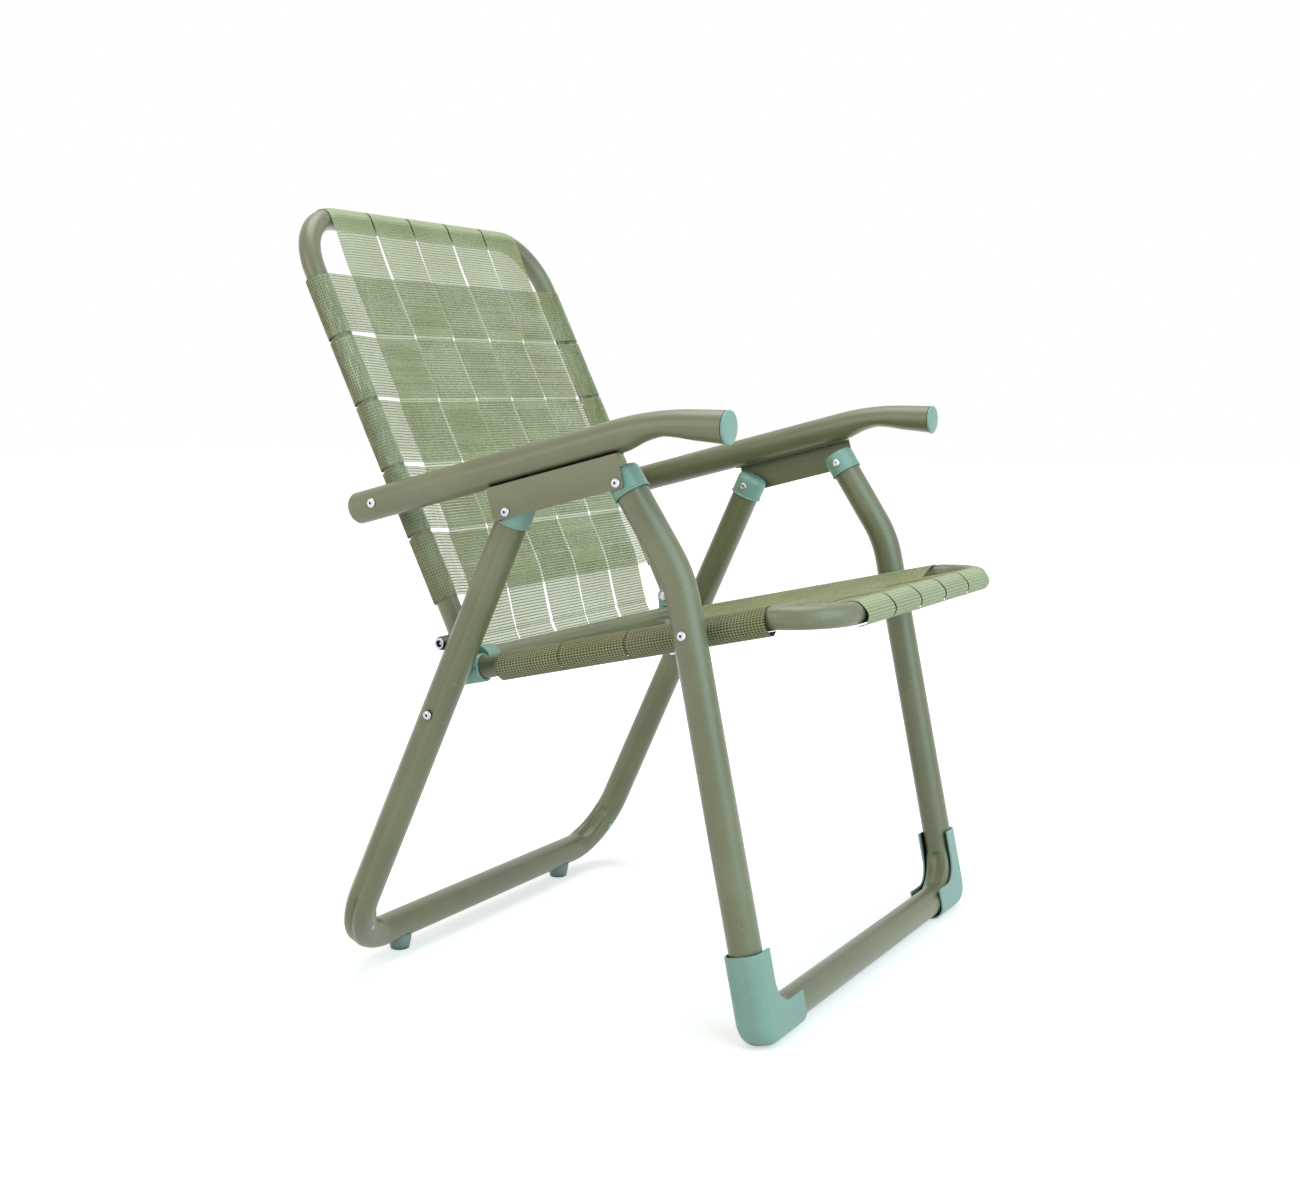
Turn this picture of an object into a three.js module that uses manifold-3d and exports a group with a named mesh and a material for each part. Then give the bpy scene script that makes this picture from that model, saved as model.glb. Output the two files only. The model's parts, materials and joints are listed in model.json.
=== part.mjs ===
import * as THREE from 'three';
import { mergeVertices } from 'three/addons/utils/BufferGeometryUtils.js';
import Module from 'manifold-3d';

const wasm = await Module();
wasm.setup();

// Driving dimensions, in millimetres: stance and lean of the open chair
const hingeHeight = 345;
const seatSlope = 11.9;
const backLean = 25.3;
const armSlope = 14;
const armPivotUp = 149;
const frontPivotAhead = 266;
const rearPivotAhead = 145;
const pivotDrop = 41;
const backLength = 464;
const seatDip = 9.5;
const frontLegLean = 11.1;
const rearLegLean = 25.4;

// Width of the frames between centre lines, and how far out the legs and arms stand
const frameHalfWidth = 220;
const legClearance = 8.5;
const armSetOut = 7;

// Tubes
const legDiameter = 31;
const armDiameter = 31;
const frameDiameter = 22;

// Webbing
const crossStrapWidth = 67.5;
const strapThickness = 0.8;
const plateauShare = 0.3;
const uprightSlit = 3;
const outerStrapInset = 45.25;
const backStrapPitch = 71.5;
const seatStrapPitch = 73;
const firstBackStrap = 40;
const firstSeatStrap = 44.5;
const uprightCount = 5;
const backStrapCount = 5;
const seatStrapCount = 4;
const weaveGap = 0.3;
const wrapSweep = 220;
const railSweep = 182;
const uprightTail = 2;
const seatHemRise = 19;

// Clearances
const seatGap = 0.3;
const runGap = 0.4;
const holeGap = 0.3;
const dipPastStraps = 6;
const dipStraight = 6;

// Bends of the tubes, on the centre line
const backCornerRadius = 64;
const seatDipRadius = 60;
const seatCornerRadius = 51;
const frontLegCornerRadius = 52;
const rearLegCornerRadius = 65;
const kneeRadius = 120;
const kneeAbovePivot = 50;
const armBendRadius = 290;
const armBendStart = 273.5;

// Tube ends and rails
const legTopOver = 11;
const backTubeTail = 11;
const seatTubeTail = 9;
const armRearOver = 27;
const armNoseRun = 32;
const armNoseDrop = 1;
const armRearDome = 6;
const frontRailHeight = 18.7;
const rearRailHeight = 27;

// Shares of a dome's radius at its top and at its shoulder
const domeTopShare = 0.55;
const domeSideShare = 0.88;

// Cross tube, from the hinge: ahead along the seat and down square to it
const crossTubeAhead = 6;
const crossTubeDrop = 23.4;

// Brackets under the arms
const bracketThickness = 2;
const bracketDepth = 32;
const bracketRearOver = 15;
const bracketFrontOver = 7;
const bracketFlangeReach = 24;

// Rivets and pins
const rivetRadius = 2.7;
const rivetHeadRadius = 4.8;
const rivetHeadHeight = 2.4;
const rivetDimpleRadius = 1.7;
const rivetDimpleDepth = 1;
const bushRadius = 7;
const pinRadius = 3.7;
const pinHeadRadius = 6.4;
const pinHeadHeight = 3.6;
const pinNutRadius = 5.6;
const pinSpacerOver = 2;

// Shares of a head's radius at its top, and of its height at its rim
const headTopShare = 0.62;
const headRimShare = 0.4;

// Plastic parts
const capWall = 1.5;
const capLength = 27;
const capRounding = 4;
const armCapThickness = 4;
const armCapStemRadius = 9;
const armCapStemLength = 12;
const shoeWall = 3.6;
const shoeUp = 68;
const shoeIn = 66;
const footHoldShare = 0.35;
const footRadius = 10;
const footTopRadius = 13;
const footFromLeg = 94;

// Corner connectors
const connectorWall = 2.6;
const innerEarThickness = 5;
const outerEarThickness = 3;
const earRadius = 9.5;
const earShoulderShare = 0.7;
const sleeveFront = 20;
const sleeveBack = 13;
const socketReach = 17;

// Links between the hinge pins and the rear legs
const linkThickness = 2.4;
const linkHalfWidth = 7;
const linkPivotDown = 219.6;

// Angular fineness of the facets
const tubeSides = 12;
const arcStep = 15;
const wrapStep = 22.5;
const leastMitreShare = 0.5;
const roundSides = 16;
const overrun = 10;

const radians = THREE.MathUtils.degToRad;
const legRadius = legDiameter / 2;
const armRadius = armDiameter / 2;
const frameRadius = frameDiameter / 2;
const legHalfWidth = frameHalfWidth + frameRadius + legClearance + legRadius;
const armHalfWidth = legHalfWidth + armSetOut;
const pinSpacerEnd = legHalfWidth + pinSpacerOver;

// The straps along the panels share the width inside the outer ones' insets
const uprightPitch = (2 * (frameHalfWidth - outerStrapInset) + uprightSlit) / uprightCount;
const uprightWidth = uprightPitch - uprightSlit;

// Pieces take their colour and sheen from these
const lacquer = { color: 0x7c8263, metalness: 0.35, roughness: 0.42 };
const plastic = { color: 0x8cae9c, metalness: 0, roughness: 0.5 };
const steel = { color: 0xb9bcbd, metalness: 0.9, roughness: 0.3 };
const webbing = { color: 0xa0aa82, metalness: 0, roughness: 0.85 };

// Directions and pivots in the side view, as (ahead-to-behind y, up z) from the hinge
const alongBack = new THREE.Vector2(Math.sin(radians(backLean)), Math.cos(radians(backLean)));
const alongArm = new THREE.Vector2(-Math.cos(radians(armSlope)), Math.sin(radians(armSlope)));
const underArm = new THREE.Vector2(-Math.sin(radians(armSlope)), -Math.cos(radians(armSlope)));
const downFrontLeg = new THREE.Vector2(
  -Math.sin(radians(frontLegLean)),
  -Math.cos(radians(frontLegLean))
);
const downRearLeg = new THREE.Vector2(Math.sin(radians(rearLegLean)), -Math.cos(radians(rearLegLean)));

function offset(from, ...steps) {
  const end = from.clone();
  for (const [direction, length] of steps) {
    end.addScaledVector(direction, length);
  }
  return end;
}

const hinge = new THREE.Vector2(0, 0);
const armPivot = offset(hinge, [alongBack, armPivotUp]);
const frontTopPivot = offset(armPivot, [alongArm, frontPivotAhead], [underArm, pivotDrop]);
const rearTopPivot = offset(armPivot, [alongArm, rearPivotAhead], [underArm, pivotDrop]);
const seatPivot = offset(hinge, [alongArm, frontPivotAhead], [underArm, pivotDrop]);
const linkPivot = offset(rearTopPivot, [downRearLeg, linkPivotDown]);

// The seat tube runs through the front leg's pivot
const seatPivotAlong = seatPivot.clone().rotateAround(hinge, radians(seatSlope));
const seatTubeDrop = -seatPivotAlong.y;

// The front of the seat tube dips from just past the last cross strap
const seatStrapsEnd = firstSeatStrap + crossStrapWidth + seatStrapPitch * (seatStrapCount - 1);
const seatDipAhead = seatStrapsEnd + dipPastStraps;
const seatFrontRun = seatCornerRadius + dipStraight;
const seatLength = seatDipAhead + seatFrontRun * Math.cos(radians(seatDip));
const seatRailDrop = seatTubeDrop + seatFrontRun * Math.sin(radians(seatDip));

// Where a leg that starts at a pivot reaches its rail's height above the floor
function railPoint(pivot, direction, railHeight) {
  const drop = pivot.y + hingeHeight - railHeight;
  return offset(pivot, [direction, drop / -direction.y]);
}

const frontRail = railPoint(seatPivot, downFrontLeg, frontRailHeight);
const rearRail = railPoint(rearTopPivot, downRearLeg, rearRailHeight);

// The spacer on the hinge pin is what the open rear leg leans on
const pinToRearLeg = Math.abs(rearTopPivot.x * downRearLeg.y - rearTopPivot.y * downRearLeg.x);
const stopRadius = pinToRearLeg - legRadius - seatGap;

// A route whose sections stand only at the run ends and along the bends
class StationRoute extends THREE.Curve {
  constructor(points, tangents) {
    super();
    this.points = points;
    this.tangents = tangents;
  }

  pick(list, u) {
    return list[Math.round(u * (list.length - 1))].clone();
  }

  getPoint(t) {
    return this.pick(this.points, t);
  }

  getPointAt(u) {
    return this.pick(this.points, u);
  }

  getTangentAt(u) {
    return this.pick(this.tangents, u);
  }
}

// Rounds each inner corner of a chain of points with an arc of its own radius
function bentRoute(corners, radii) {
  const points = [corners[0].clone()];
  const tangents = [corners[1].clone().sub(corners[0]).normalize()];
  for (let index = 1; index < corners.length - 1; index += 1) {
    const into = corners[index].clone().sub(corners[index - 1]).normalize();
    const out = corners[index + 1].clone().sub(corners[index]).normalize();
    const turn = into.angleTo(out);
    const radius = radii[index - 1];
    const run = radius * Math.tan(turn / 2);
    const steps = Math.max(2, Math.round(turn / radians(arcStep)));
    const inward = out.clone().addScaledVector(into, -into.dot(out)).normalize();
    const start = corners[index].clone().addScaledVector(into, -run);
    for (let step = 0; step <= steps; step += 1) {
      const angle = turn * step / steps;
      const point = start.clone();
      point.addScaledVector(into, radius * Math.sin(angle));
      point.addScaledVector(inward, radius * (1 - Math.cos(angle)));
      points.push(point);
      const tangent = into.clone().multiplyScalar(Math.cos(angle));
      tangents.push(tangent.addScaledVector(inward, Math.sin(angle)));
    }
  }
  const last = corners.length - 1;
  points.push(corners[last].clone());
  tangents.push(corners[last].clone().sub(corners[last - 1]).normalize());
  return new StationRoute(points, tangents);
}

function ringPoints(radius, sides) {
  const points = [];
  for (let side = 0; side < sides; side += 1) {
    const angle = 2 * Math.PI * (side + 0.5) / sides;
    points.push(new THREE.Vector2(radius * Math.cos(angle), radius * Math.sin(angle)));
  }
  return points;
}

// Leaves a mesh with shared corners only and its faces turned outward
function outward(geometry) {
  geometry.deleteAttribute('normal');
  geometry.deleteAttribute('uv');
  const merged = mergeVertices(geometry);
  const place = merged.attributes.position;
  const index = merged.index.array;
  const a = new THREE.Vector3();
  const b = new THREE.Vector3();
  const c = new THREE.Vector3();
  let volume = 0;
  for (let i = 0; i < index.length; i += 3) {
    a.fromBufferAttribute(place, index[i]);
    b.fromBufferAttribute(place, index[i + 1]);
    c.fromBufferAttribute(place, index[i + 2]);
    volume += a.dot(b.cross(c));
  }
  if (volume < 0) {
    for (let i = 0; i < index.length; i += 3) {
      [index[i], index[i + 1]] = [index[i + 1], index[i]];
    }
  }
  return merged;
}

// A round bar along a route
function bar(route, radius) {
  const section = new THREE.Shape(ringPoints(radius, tubeSides));
  const steps = route.points.length - 1;
  const settings = { steps, extrudePath: route, bevelEnabled: false };
  return outward(new THREE.ExtrudeGeometry(section, settings));
}

// A turned piece: its profile is (radius, height) pairs, its axis is +X from the given x
function turned(profile, sides, x = 0) {
  const points = profile.map(([radius, height]) => new THREE.Vector2(radius, height));
  const geometry = new THREE.LatheGeometry(points, sides);
  geometry.rotateZ(-Math.PI / 2);
  geometry.translate(x, 0, 0);
  return outward(geometry);
}

function cylinder(radius, from, to, sides = roundSides) {
  return turned([[0, from], [radius, from], [radius, to], [0, to]], sides);
}

function slab(outline, depth) {
  const settings = { depth, bevelEnabled: false };
  return outward(new THREE.ExtrudeGeometry(new THREE.Shape(outline), settings));
}

// A flat strip of even thickness along a line
function ribbon(line, width) {
  const half = strapThickness / 2;
  const left = [];
  const right = [];
  for (let i = 0; i < line.length; i += 1) {
    const before = line[Math.max(i - 1, 0)];
    const after = line[Math.min(i + 1, line.length - 1)];
    const into = line[i].clone().sub(before).normalize();
    const out = after.clone().sub(line[i]).normalize();
    const along = into.clone().add(out).normalize();
    const square = new THREE.Vector2(-along.y, along.x);
    const steady = i === 0 ? out : into;
    const reach = half / Math.max(Math.abs(steady.dot(along)), leastMitreShare);
    left.push(line[i].clone().addScaledVector(square, reach));
    right.unshift(line[i].clone().addScaledVector(square, -reach));
  }
  return slab([...left, ...right], width);
}

function toSolid(geometry) {
  const place = geometry.attributes.position.array;
  const mesh = new wasm.Mesh({
    numProp: 3,
    vertProperties: new Float32Array(place),
    triVerts: new Uint32Array(geometry.index.array)
  });
  return new wasm.Manifold(mesh);
}

function toGeometry(solid) {
  const mesh = solid.getMesh();
  const geometry = new THREE.BufferGeometry();
  geometry.setAttribute('position', new THREE.BufferAttribute(mesh.vertProperties, mesh.numProp));
  geometry.setIndex(new THREE.BufferAttribute(mesh.triVerts, 1));
  return geometry;
}

function joined(base, others) {
  let solid = toSolid(base);
  for (const other of others) {
    solid = solid.add(toSolid(other));
  }
  return toGeometry(solid);
}

function cut(base, others) {
  let solid = toSolid(base);
  for (const other of others) {
    solid = solid.subtract(toSolid(other));
  }
  return toGeometry(solid);
}

function moved(geometry, x, y, z) {
  return geometry.clone().translate(x, y, z);
}

// The chair's groups: the seat, back and arms are built square and leaned as a whole
const chair = new THREE.Group();
const standing = new THREE.Group();
chair.add(standing);

function leaned(angle, at) {
  const group = new THREE.Group();
  group.rotation.x = -radians(angle);
  group.position.set(0, at.x, at.y);
  standing.add(group);
  return group;
}

const backGroup = leaned(backLean, hinge);
const seatGroup = leaned(seatSlope, hinge);
const armGroup = leaned(armSlope, armPivot);

function add(group, name, geometry, look) {
  const mesh = new THREE.Mesh(geometry, new THREE.MeshStandardMaterial(look));
  mesh.name = name;
  group.add(mesh);
}

function mirrorX(geometry) {
  return outward(geometry.clone().scale(-1, 1, 1));
}

// Adds a piece built for the +X side, and its mirror image for the -X side
function addPair(group, name, geometry, look) {
  add(group, `${name}_left`, geometry, look);
  add(group, `${name}_right`, mirrorX(geometry), look);
}

// Cross holes for rivets and pins, on both sides at once
function crossHole(radius, y, z) {
  const reach = armHalfWidth + armRadius + overrun;
  return moved(cylinder(radius, -reach, reach), 0, y, z);
}

// A domed, hollow-ended rivet from its inner end to the outer face it holds
function rivet(innerFace, outerFace, innerHead) {
  const profile = [];
  if (innerHead) {
    profile.push([0, innerFace - seatGap - rivetHeadHeight]);
    profile.push([rivetHeadRadius * headTopShare, innerFace - seatGap - rivetHeadHeight]);
    profile.push([rivetHeadRadius, innerFace - seatGap]);
    profile.push([rivetRadius, innerFace - seatGap]);
  } else {
    profile.push([0, innerFace]);
    profile.push([rivetRadius, innerFace]);
  }
  profile.push([rivetRadius, outerFace + seatGap]);
  profile.push([rivetHeadRadius, outerFace + seatGap]);
  profile.push([rivetHeadRadius, outerFace + seatGap + rivetHeadHeight * headRimShare]);
  profile.push([rivetHeadRadius * headTopShare, outerFace + seatGap + rivetHeadHeight]);
  profile.push([rivetDimpleRadius, outerFace + seatGap + rivetHeadHeight]);
  profile.push([rivetDimpleRadius * headTopShare, outerFace + seatGap + rivetHeadHeight - rivetDimpleDepth]);
  profile.push([0, outerFace + seatGap + rivetHeadHeight - rivetDimpleDepth]);
  return turned(profile, tubeSides);
}

// Back frame: a hairpin tube with two bends at the top, bored for the hinge and arm rivets
const backRoute = bentRoute(
  [
    new THREE.Vector3(-frameHalfWidth, 0, -backTubeTail),
    new THREE.Vector3(-frameHalfWidth, 0, backLength),
    new THREE.Vector3(frameHalfWidth, 0, backLength),
    new THREE.Vector3(frameHalfWidth, 0, -backTubeTail)
  ],
  [backCornerRadius, backCornerRadius]
);
const pinHoleRadius = pinRadius + holeGap;
const rivetHoleRadius = rivetRadius + holeGap;
add(
  backGroup,
  'back_frame',
  cut(bar(backRoute, frameRadius), [
    crossHole(pinHoleRadius, 0, 0),
    crossHole(rivetHoleRadius, 0, armPivotUp)
  ]),
  lacquer
);

// Seat frame: the same kind of hairpin under the hinge, dipped at the front, bored for the leg rivets
const seatRoute = bentRoute(
  [
    new THREE.Vector3(-frameHalfWidth, seatTubeTail, -seatTubeDrop),
    new THREE.Vector3(-frameHalfWidth, -seatDipAhead, -seatTubeDrop),
    new THREE.Vector3(-frameHalfWidth, -seatLength, -seatRailDrop),
    new THREE.Vector3(frameHalfWidth, -seatLength, -seatRailDrop),
    new THREE.Vector3(frameHalfWidth, -seatDipAhead, -seatTubeDrop),
    new THREE.Vector3(frameHalfWidth, seatTubeTail, -seatTubeDrop)
  ],
  [seatDipRadius, seatCornerRadius, seatCornerRadius, seatDipRadius]
);
add(
  seatGroup,
  'seat_frame',
  cut(bar(seatRoute, frameRadius), [crossHole(rivetHoleRadius, seatPivotAlong.x, seatPivotAlong.y)]),
  lacquer
);

// Cross tube between the two corner connectors
const innerEarFace = frameHalfWidth - frameRadius - runGap - innerEarThickness;
const crossTubeHalf = innerEarFace - seatGap;
const connectorRadius = frameRadius + seatGap + connectorWall;
add(
  seatGroup,
  'cross_tube',
  moved(cylinder(frameRadius, -crossTubeHalf, crossTubeHalf, tubeSides), 0, -crossTubeAhead, -crossTubeDrop),
  lacquer
);

// Corner connector: a sleeve on the seat tube, two ears for the back tube, a socket inwards
const outerEarFace = frameHalfWidth + frameRadius + runGap;
const innerEarEnd = innerEarFace + innerEarThickness;
const outerEarEnd = outerEarFace + outerEarThickness;

function alongY(geometry) {
  return geometry.rotateZ(-Math.PI / 2);
}

function ear(from, to) {
  const head = cylinder(earRadius, from, to);
  const foot = slab(
    [
      new THREE.Vector2(-sleeveFront, -seatTubeDrop),
      new THREE.Vector2(sleeveBack, -seatTubeDrop),
      new THREE.Vector2(earRadius, 0),
      new THREE.Vector2(-earRadius * earShoulderShare, earRadius * earShoulderShare),
      new THREE.Vector2(-crossTubeAhead - connectorRadius * earShoulderShare, -crossTubeDrop)
    ],
    to - from
  );
  foot.applyMatrix4(
    new THREE.Matrix4().makeBasis(
      new THREE.Vector3(0, 1, 0),
      new THREE.Vector3(0, 0, 1),
      new THREE.Vector3(1, 0, 0)
    )
  );
  foot.translate(from, 0, 0);
  return joined(head, [foot]);
}

const sleeve = alongY(cylinder(connectorRadius, -sleeveBack, sleeveFront));
sleeve.translate(frameHalfWidth, 0, -seatTubeDrop);
const sleeveBore = alongY(cylinder(frameRadius + seatGap, -seatTubeTail - seatGap, sleeveFront + overrun));
sleeveBore.translate(frameHalfWidth, 0, -seatTubeDrop);
const socket = moved(
  cylinder(connectorRadius, innerEarFace - socketReach, innerEarEnd),
  0,
  -crossTubeAhead,
  -crossTubeDrop
);
const socketBore = moved(
  cylinder(frameRadius + seatGap, innerEarFace - socketReach - overrun, innerEarFace),
  0,
  -crossTubeAhead,
  -crossTubeDrop
);
const tailRoom = cylinder(Math.hypot(backTubeTail, frameRadius) + runGap, innerEarEnd, outerEarFace);
const connector = cut(
  joined(ear(innerEarFace, innerEarEnd), [ear(outerEarFace, outerEarEnd), sleeve, socket]),
  [sleeveBore, socketBore, tailRoom, crossHole(pinHoleRadius, 0, 0)]
);
addPair(seatGroup, 'corner_connector', connector, plastic);

// Hinge pin with its inner nut and outer head, and the spacer that the rear leg leans on
const linkFace = outerEarEnd + runGap;
const linkEnd = linkFace + linkThickness;
const spacerStart = linkEnd + runGap;
const hingePin = turned(
  [
    [0, innerEarFace - seatGap - pinHeadHeight],
    [pinNutRadius, innerEarFace - seatGap - pinHeadHeight],
    [pinNutRadius, innerEarFace - seatGap],
    [pinRadius, innerEarFace - seatGap],
    [pinRadius, pinSpacerEnd + seatGap],
    [pinHeadRadius, pinSpacerEnd + seatGap],
    [pinHeadRadius, pinSpacerEnd + seatGap + pinHeadHeight * headRimShare],
    [pinHeadRadius * headTopShare, pinSpacerEnd + seatGap + pinHeadHeight],
    [0, pinSpacerEnd + seatGap + pinHeadHeight]
  ],
  roundSides
);
addPair(seatGroup, 'hinge_pin', hingePin, steel);
const pinSpacer = turned(
  [
    [pinHoleRadius, spacerStart],
    [stopRadius, spacerStart],
    [stopRadius, pinSpacerEnd],
    [pinHoleRadius, pinSpacerEnd],
    [pinHoleRadius, spacerStart]
  ],
  roundSides
);
addPair(seatGroup, 'stop_spacer', pinSpacer, lacquer);

// Front legs: one tube from cap to cap, kneed at the seat and turned into a rail at the floor
const kneePoint = offset(seatPivot, [downFrontLeg, -kneeAbovePivot]);
const kneeToTop = frontTopPivot.clone().sub(kneePoint).normalize();
const frontTop = offset(frontTopPivot, [kneeToTop, legTopOver]);

function sideChain(points) {
  const chain = points.map((point) => new THREE.Vector3(-legHalfWidth, point.x, point.y));
  const mirrored = chain.map((point) => new THREE.Vector3(-point.x, point.y, point.z)).reverse();
  return [...chain, ...mirrored];
}

const frontChain = sideChain([frontTop, kneePoint, frontRail]);
const frontRadii = [kneeRadius, frontLegCornerRadius, frontLegCornerRadius, kneeRadius];
const frontBar = bar(bentRoute(frontChain, frontRadii), legRadius);
add(
  standing,
  'front_leg_frame',
  cut(frontBar, [
    crossHole(rivetHoleRadius, frontTopPivot.x, frontTopPivot.y),
    crossHole(rivetHoleRadius, seatPivot.x, seatPivot.y)
  ]),
  lacquer
);

// Rear legs: the same, straight from cap to corner
const rearTop = offset(rearTopPivot, [downRearLeg, -legTopOver]);
const rearChain = sideChain([rearTop, rearRail]);
const rearBar = bar(bentRoute(rearChain, [rearLegCornerRadius, rearLegCornerRadius]), legRadius);

add(
  standing,
  'rear_leg_frame',
  cut(rearBar, [
    crossHole(rivetHoleRadius, rearTopPivot.x, rearTopPivot.y),
    crossHole(rivetHoleRadius, linkPivot.x, linkPivot.y)
  ]),
  lacquer
);

// Feet under the rear rail, saddled to it
const footBlank = turned([[0, 0], [footRadius, 0], [footTopRadius, rearRailHeight], [0, rearRailHeight]], roundSides);
footBlank.rotateY(-Math.PI / 2);
footBlank.translate(legHalfWidth - footFromLeg, rearRail.x, -hingeHeight);
const railSaddle = moved(
  cylinder(legRadius + seatGap, -legHalfWidth, legHalfWidth, roundSides),
  0,
  rearRail.x,
  rearRail.y
);
const aboveRail = new THREE.BoxGeometry(legHalfWidth * 2, legDiameter * 2, legDiameter);
aboveRail.translate(0, rearRail.x, rearRail.y + legDiameter / 2 - legRadius * footHoldShare);
addPair(standing, 'rear_foot', cut(footBlank, [railSaddle, outward(aboveRail)]), plastic);

// Shoes round the front corners, open towards the middle and flat on the floor
const shoeTop = offset(frontRail, [downFrontLeg, -shoeUp]);
const shoeInner = legRadius + seatGap;
const shoeOuter = legRadius + seatGap + shoeWall;
const shoeCorner = new THREE.Vector3(legHalfWidth, frontRail.x, frontRail.y);
const shoeTopEnd = new THREE.Vector3(legHalfWidth, shoeTop.x, shoeTop.y);
const shoeInEnd = new THREE.Vector3(legHalfWidth - shoeIn, frontRail.x, frontRail.y);
const shoeRoute = bentRoute([shoeTopEnd, shoeCorner, shoeInEnd], [frontLegCornerRadius]);
const throughRoute = bentRoute(
  [
    shoeTopEnd.clone().lerp(shoeCorner, -overrun / shoeUp),
    shoeCorner,
    shoeInEnd.clone().lerp(shoeCorner, -overrun / shoeIn)
  ],
  [frontLegCornerRadius]
);
const floorBlock = new THREE.BoxGeometry(legHalfWidth * 4, seatLength * 2, hingeHeight);
floorBlock.translate(0, 0, -hingeHeight - hingeHeight / 2);
const shoe = cut(bar(shoeRoute, shoeOuter), [bar(throughRoute, shoeInner), outward(floorBlock)]);
addPair(standing, 'front_shoe', shoe, plastic);

// Caps over the leg tops, each gripped by the leg's top rivet
const capOuter = legRadius + seatGap + capWall;
const capProfile = [
  [0, legTopOver + seatGap],
  [legRadius + seatGap, legTopOver + seatGap],
  [legRadius + seatGap, legTopOver - capLength],
  [capOuter, legTopOver - capLength],
  [capOuter, legTopOver + seatGap + capWall - capRounding],
  [capOuter - capRounding, legTopOver + seatGap + capWall],
  [0, legTopOver + seatGap + capWall]
];

function legCap(pivot, lean) {
  const cap = turned(capProfile, roundSides);
  cap.rotateY(-Math.PI / 2);
  cap.rotateX(lean);
  cap.translate(legHalfWidth, pivot.x, pivot.y);
  return cut(cap, [crossHole(rivetHoleRadius, pivot.x, pivot.y)]);
}

addPair(standing, 'front_leg_cap', legCap(frontTopPivot, -Math.atan2(kneeToTop.x, kneeToTop.y)), plastic);
addPair(standing, 'rear_leg_cap', legCap(rearTopPivot, radians(rearLegLean)), plastic);

// Arms: straight from the back rivet, then bent level at the hand end
const armTurn = radians(armSlope + armNoseDrop);
const armBendRun = armBendRadius * Math.tan(armTurn / 2);
const armCorner = new THREE.Vector3(armHalfWidth, -armBendStart - armBendRun, 0);
const armNose = new THREE.Vector3(0, -Math.cos(armTurn), -Math.sin(armTurn));
const armTip = armCorner.clone().addScaledVector(armNose, armBendRun + armNoseRun);
const armRoute = bentRoute([new THREE.Vector3(armHalfWidth, armRearOver, 0), armCorner, armTip], [armBendRadius]);
const armDome = alongY(
  turned(
    [
      [0, -armRearDome],
      [armRadius * domeTopShare, -armRearDome],
      [armRadius * domeSideShare, -armRearDome * domeTopShare],
      [armRadius, 0],
      [armRadius, armRearDome],
      [0, armRearDome]
    ],
    tubeSides
  )
);
armDome.rotateY(Math.PI / tubeSides);
armDome.translate(armHalfWidth, armRearOver, 0);

// A turned piece set at the arm's tip, its axis running out of the tube
function atArmTip(geometry) {
  const placed = alongY(geometry);
  placed.rotateX(armTurn);
  return placed.translate(armTip.x, armTip.y, armTip.z);
}

const armBore = atArmTip(cylinder(armCapStemRadius + seatGap, -armCapStemLength - seatGap, overrun));
const arm = cut(joined(bar(armRoute, armRadius), [armDome]), [
  armBore,
  crossHole(rivetHoleRadius, 0, 0)
]);
addPair(armGroup, 'arm', arm, lacquer);

const armCap = atArmTip(
  turned(
    [
      [0, -armCapStemLength],
      [armCapStemRadius, -armCapStemLength],
      [armCapStemRadius, seatGap],
      [armRadius, seatGap],
      [armRadius, armCapThickness * domeTopShare],
      [armRadius * domeSideShare, armCapThickness],
      [0, armCapThickness]
    ],
    roundSides
  )
);
addPair(armGroup, 'arm_cap', armCap, plastic);

// Brackets: an angle strip under each arm, its upright side outside the leg tops
const bracketFace = legHalfWidth + capOuter + runGap;
const bracketOuter = bracketFace + bracketThickness;
const bracketTop = -armRadius - seatGap;
const bracketFront = frontPivotAhead + bracketFrontOver;
const bracketRear = rearPivotAhead - bracketRearOver;
const bracket = slab(
  [
    new THREE.Vector2(bracketOuter - bracketFlangeReach, bracketTop),
    new THREE.Vector2(bracketOuter - bracketFlangeReach, bracketTop - bracketThickness),
    new THREE.Vector2(bracketFace, bracketTop - bracketThickness),
    new THREE.Vector2(bracketFace, bracketTop - bracketDepth),
    new THREE.Vector2(bracketOuter, bracketTop - bracketDepth),
    new THREE.Vector2(bracketOuter, bracketTop)
  ],
  bracketFront - bracketRear
);
bracket.rotateX(Math.PI / 2);
bracket.translate(0, -bracketRear, 0);
addPair(
  armGroup,
  'arm_bracket',
  cut(bracket, [
    crossHole(rivetHoleRadius, -rearPivotAhead, -pivotDrop),
    crossHole(rivetHoleRadius, -frontPivotAhead, -pivotDrop)
  ]),
  lacquer
);

// Rivets, each named for what it joins, and the bushes between the tubes they cross
const capInnerFace = legHalfWidth - capOuter;
const legOuterFace = legHalfWidth + legRadius;
const legInnerFace = legHalfWidth - legRadius;
const frameInnerFace = frameHalfWidth - frameRadius;
const frameOuterFace = frameHalfWidth + frameRadius;
const armInnerFace = armHalfWidth - armRadius;
const armOuterFace = armHalfWidth + armRadius;

function addRivets(name, pivot, innerFace, outerFace, innerHead) {
  const geometry = moved(rivet(innerFace, outerFace, innerHead), 0, pivot.x, pivot.y);
  addPair(standing, name, geometry, steel);
}

function addBushes(name, pivot, outerFace) {
  const from = frameOuterFace + seatGap;
  const to = outerFace - seatGap;
  const bush = turned(
    [
      [rivetHoleRadius, from],
      [bushRadius, from],
      [bushRadius, to],
      [rivetHoleRadius, to],
      [rivetHoleRadius, from]
    ],
    roundSides
  );
  addPair(standing, name, moved(bush, 0, pivot.x, pivot.y), plastic);
}

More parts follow.
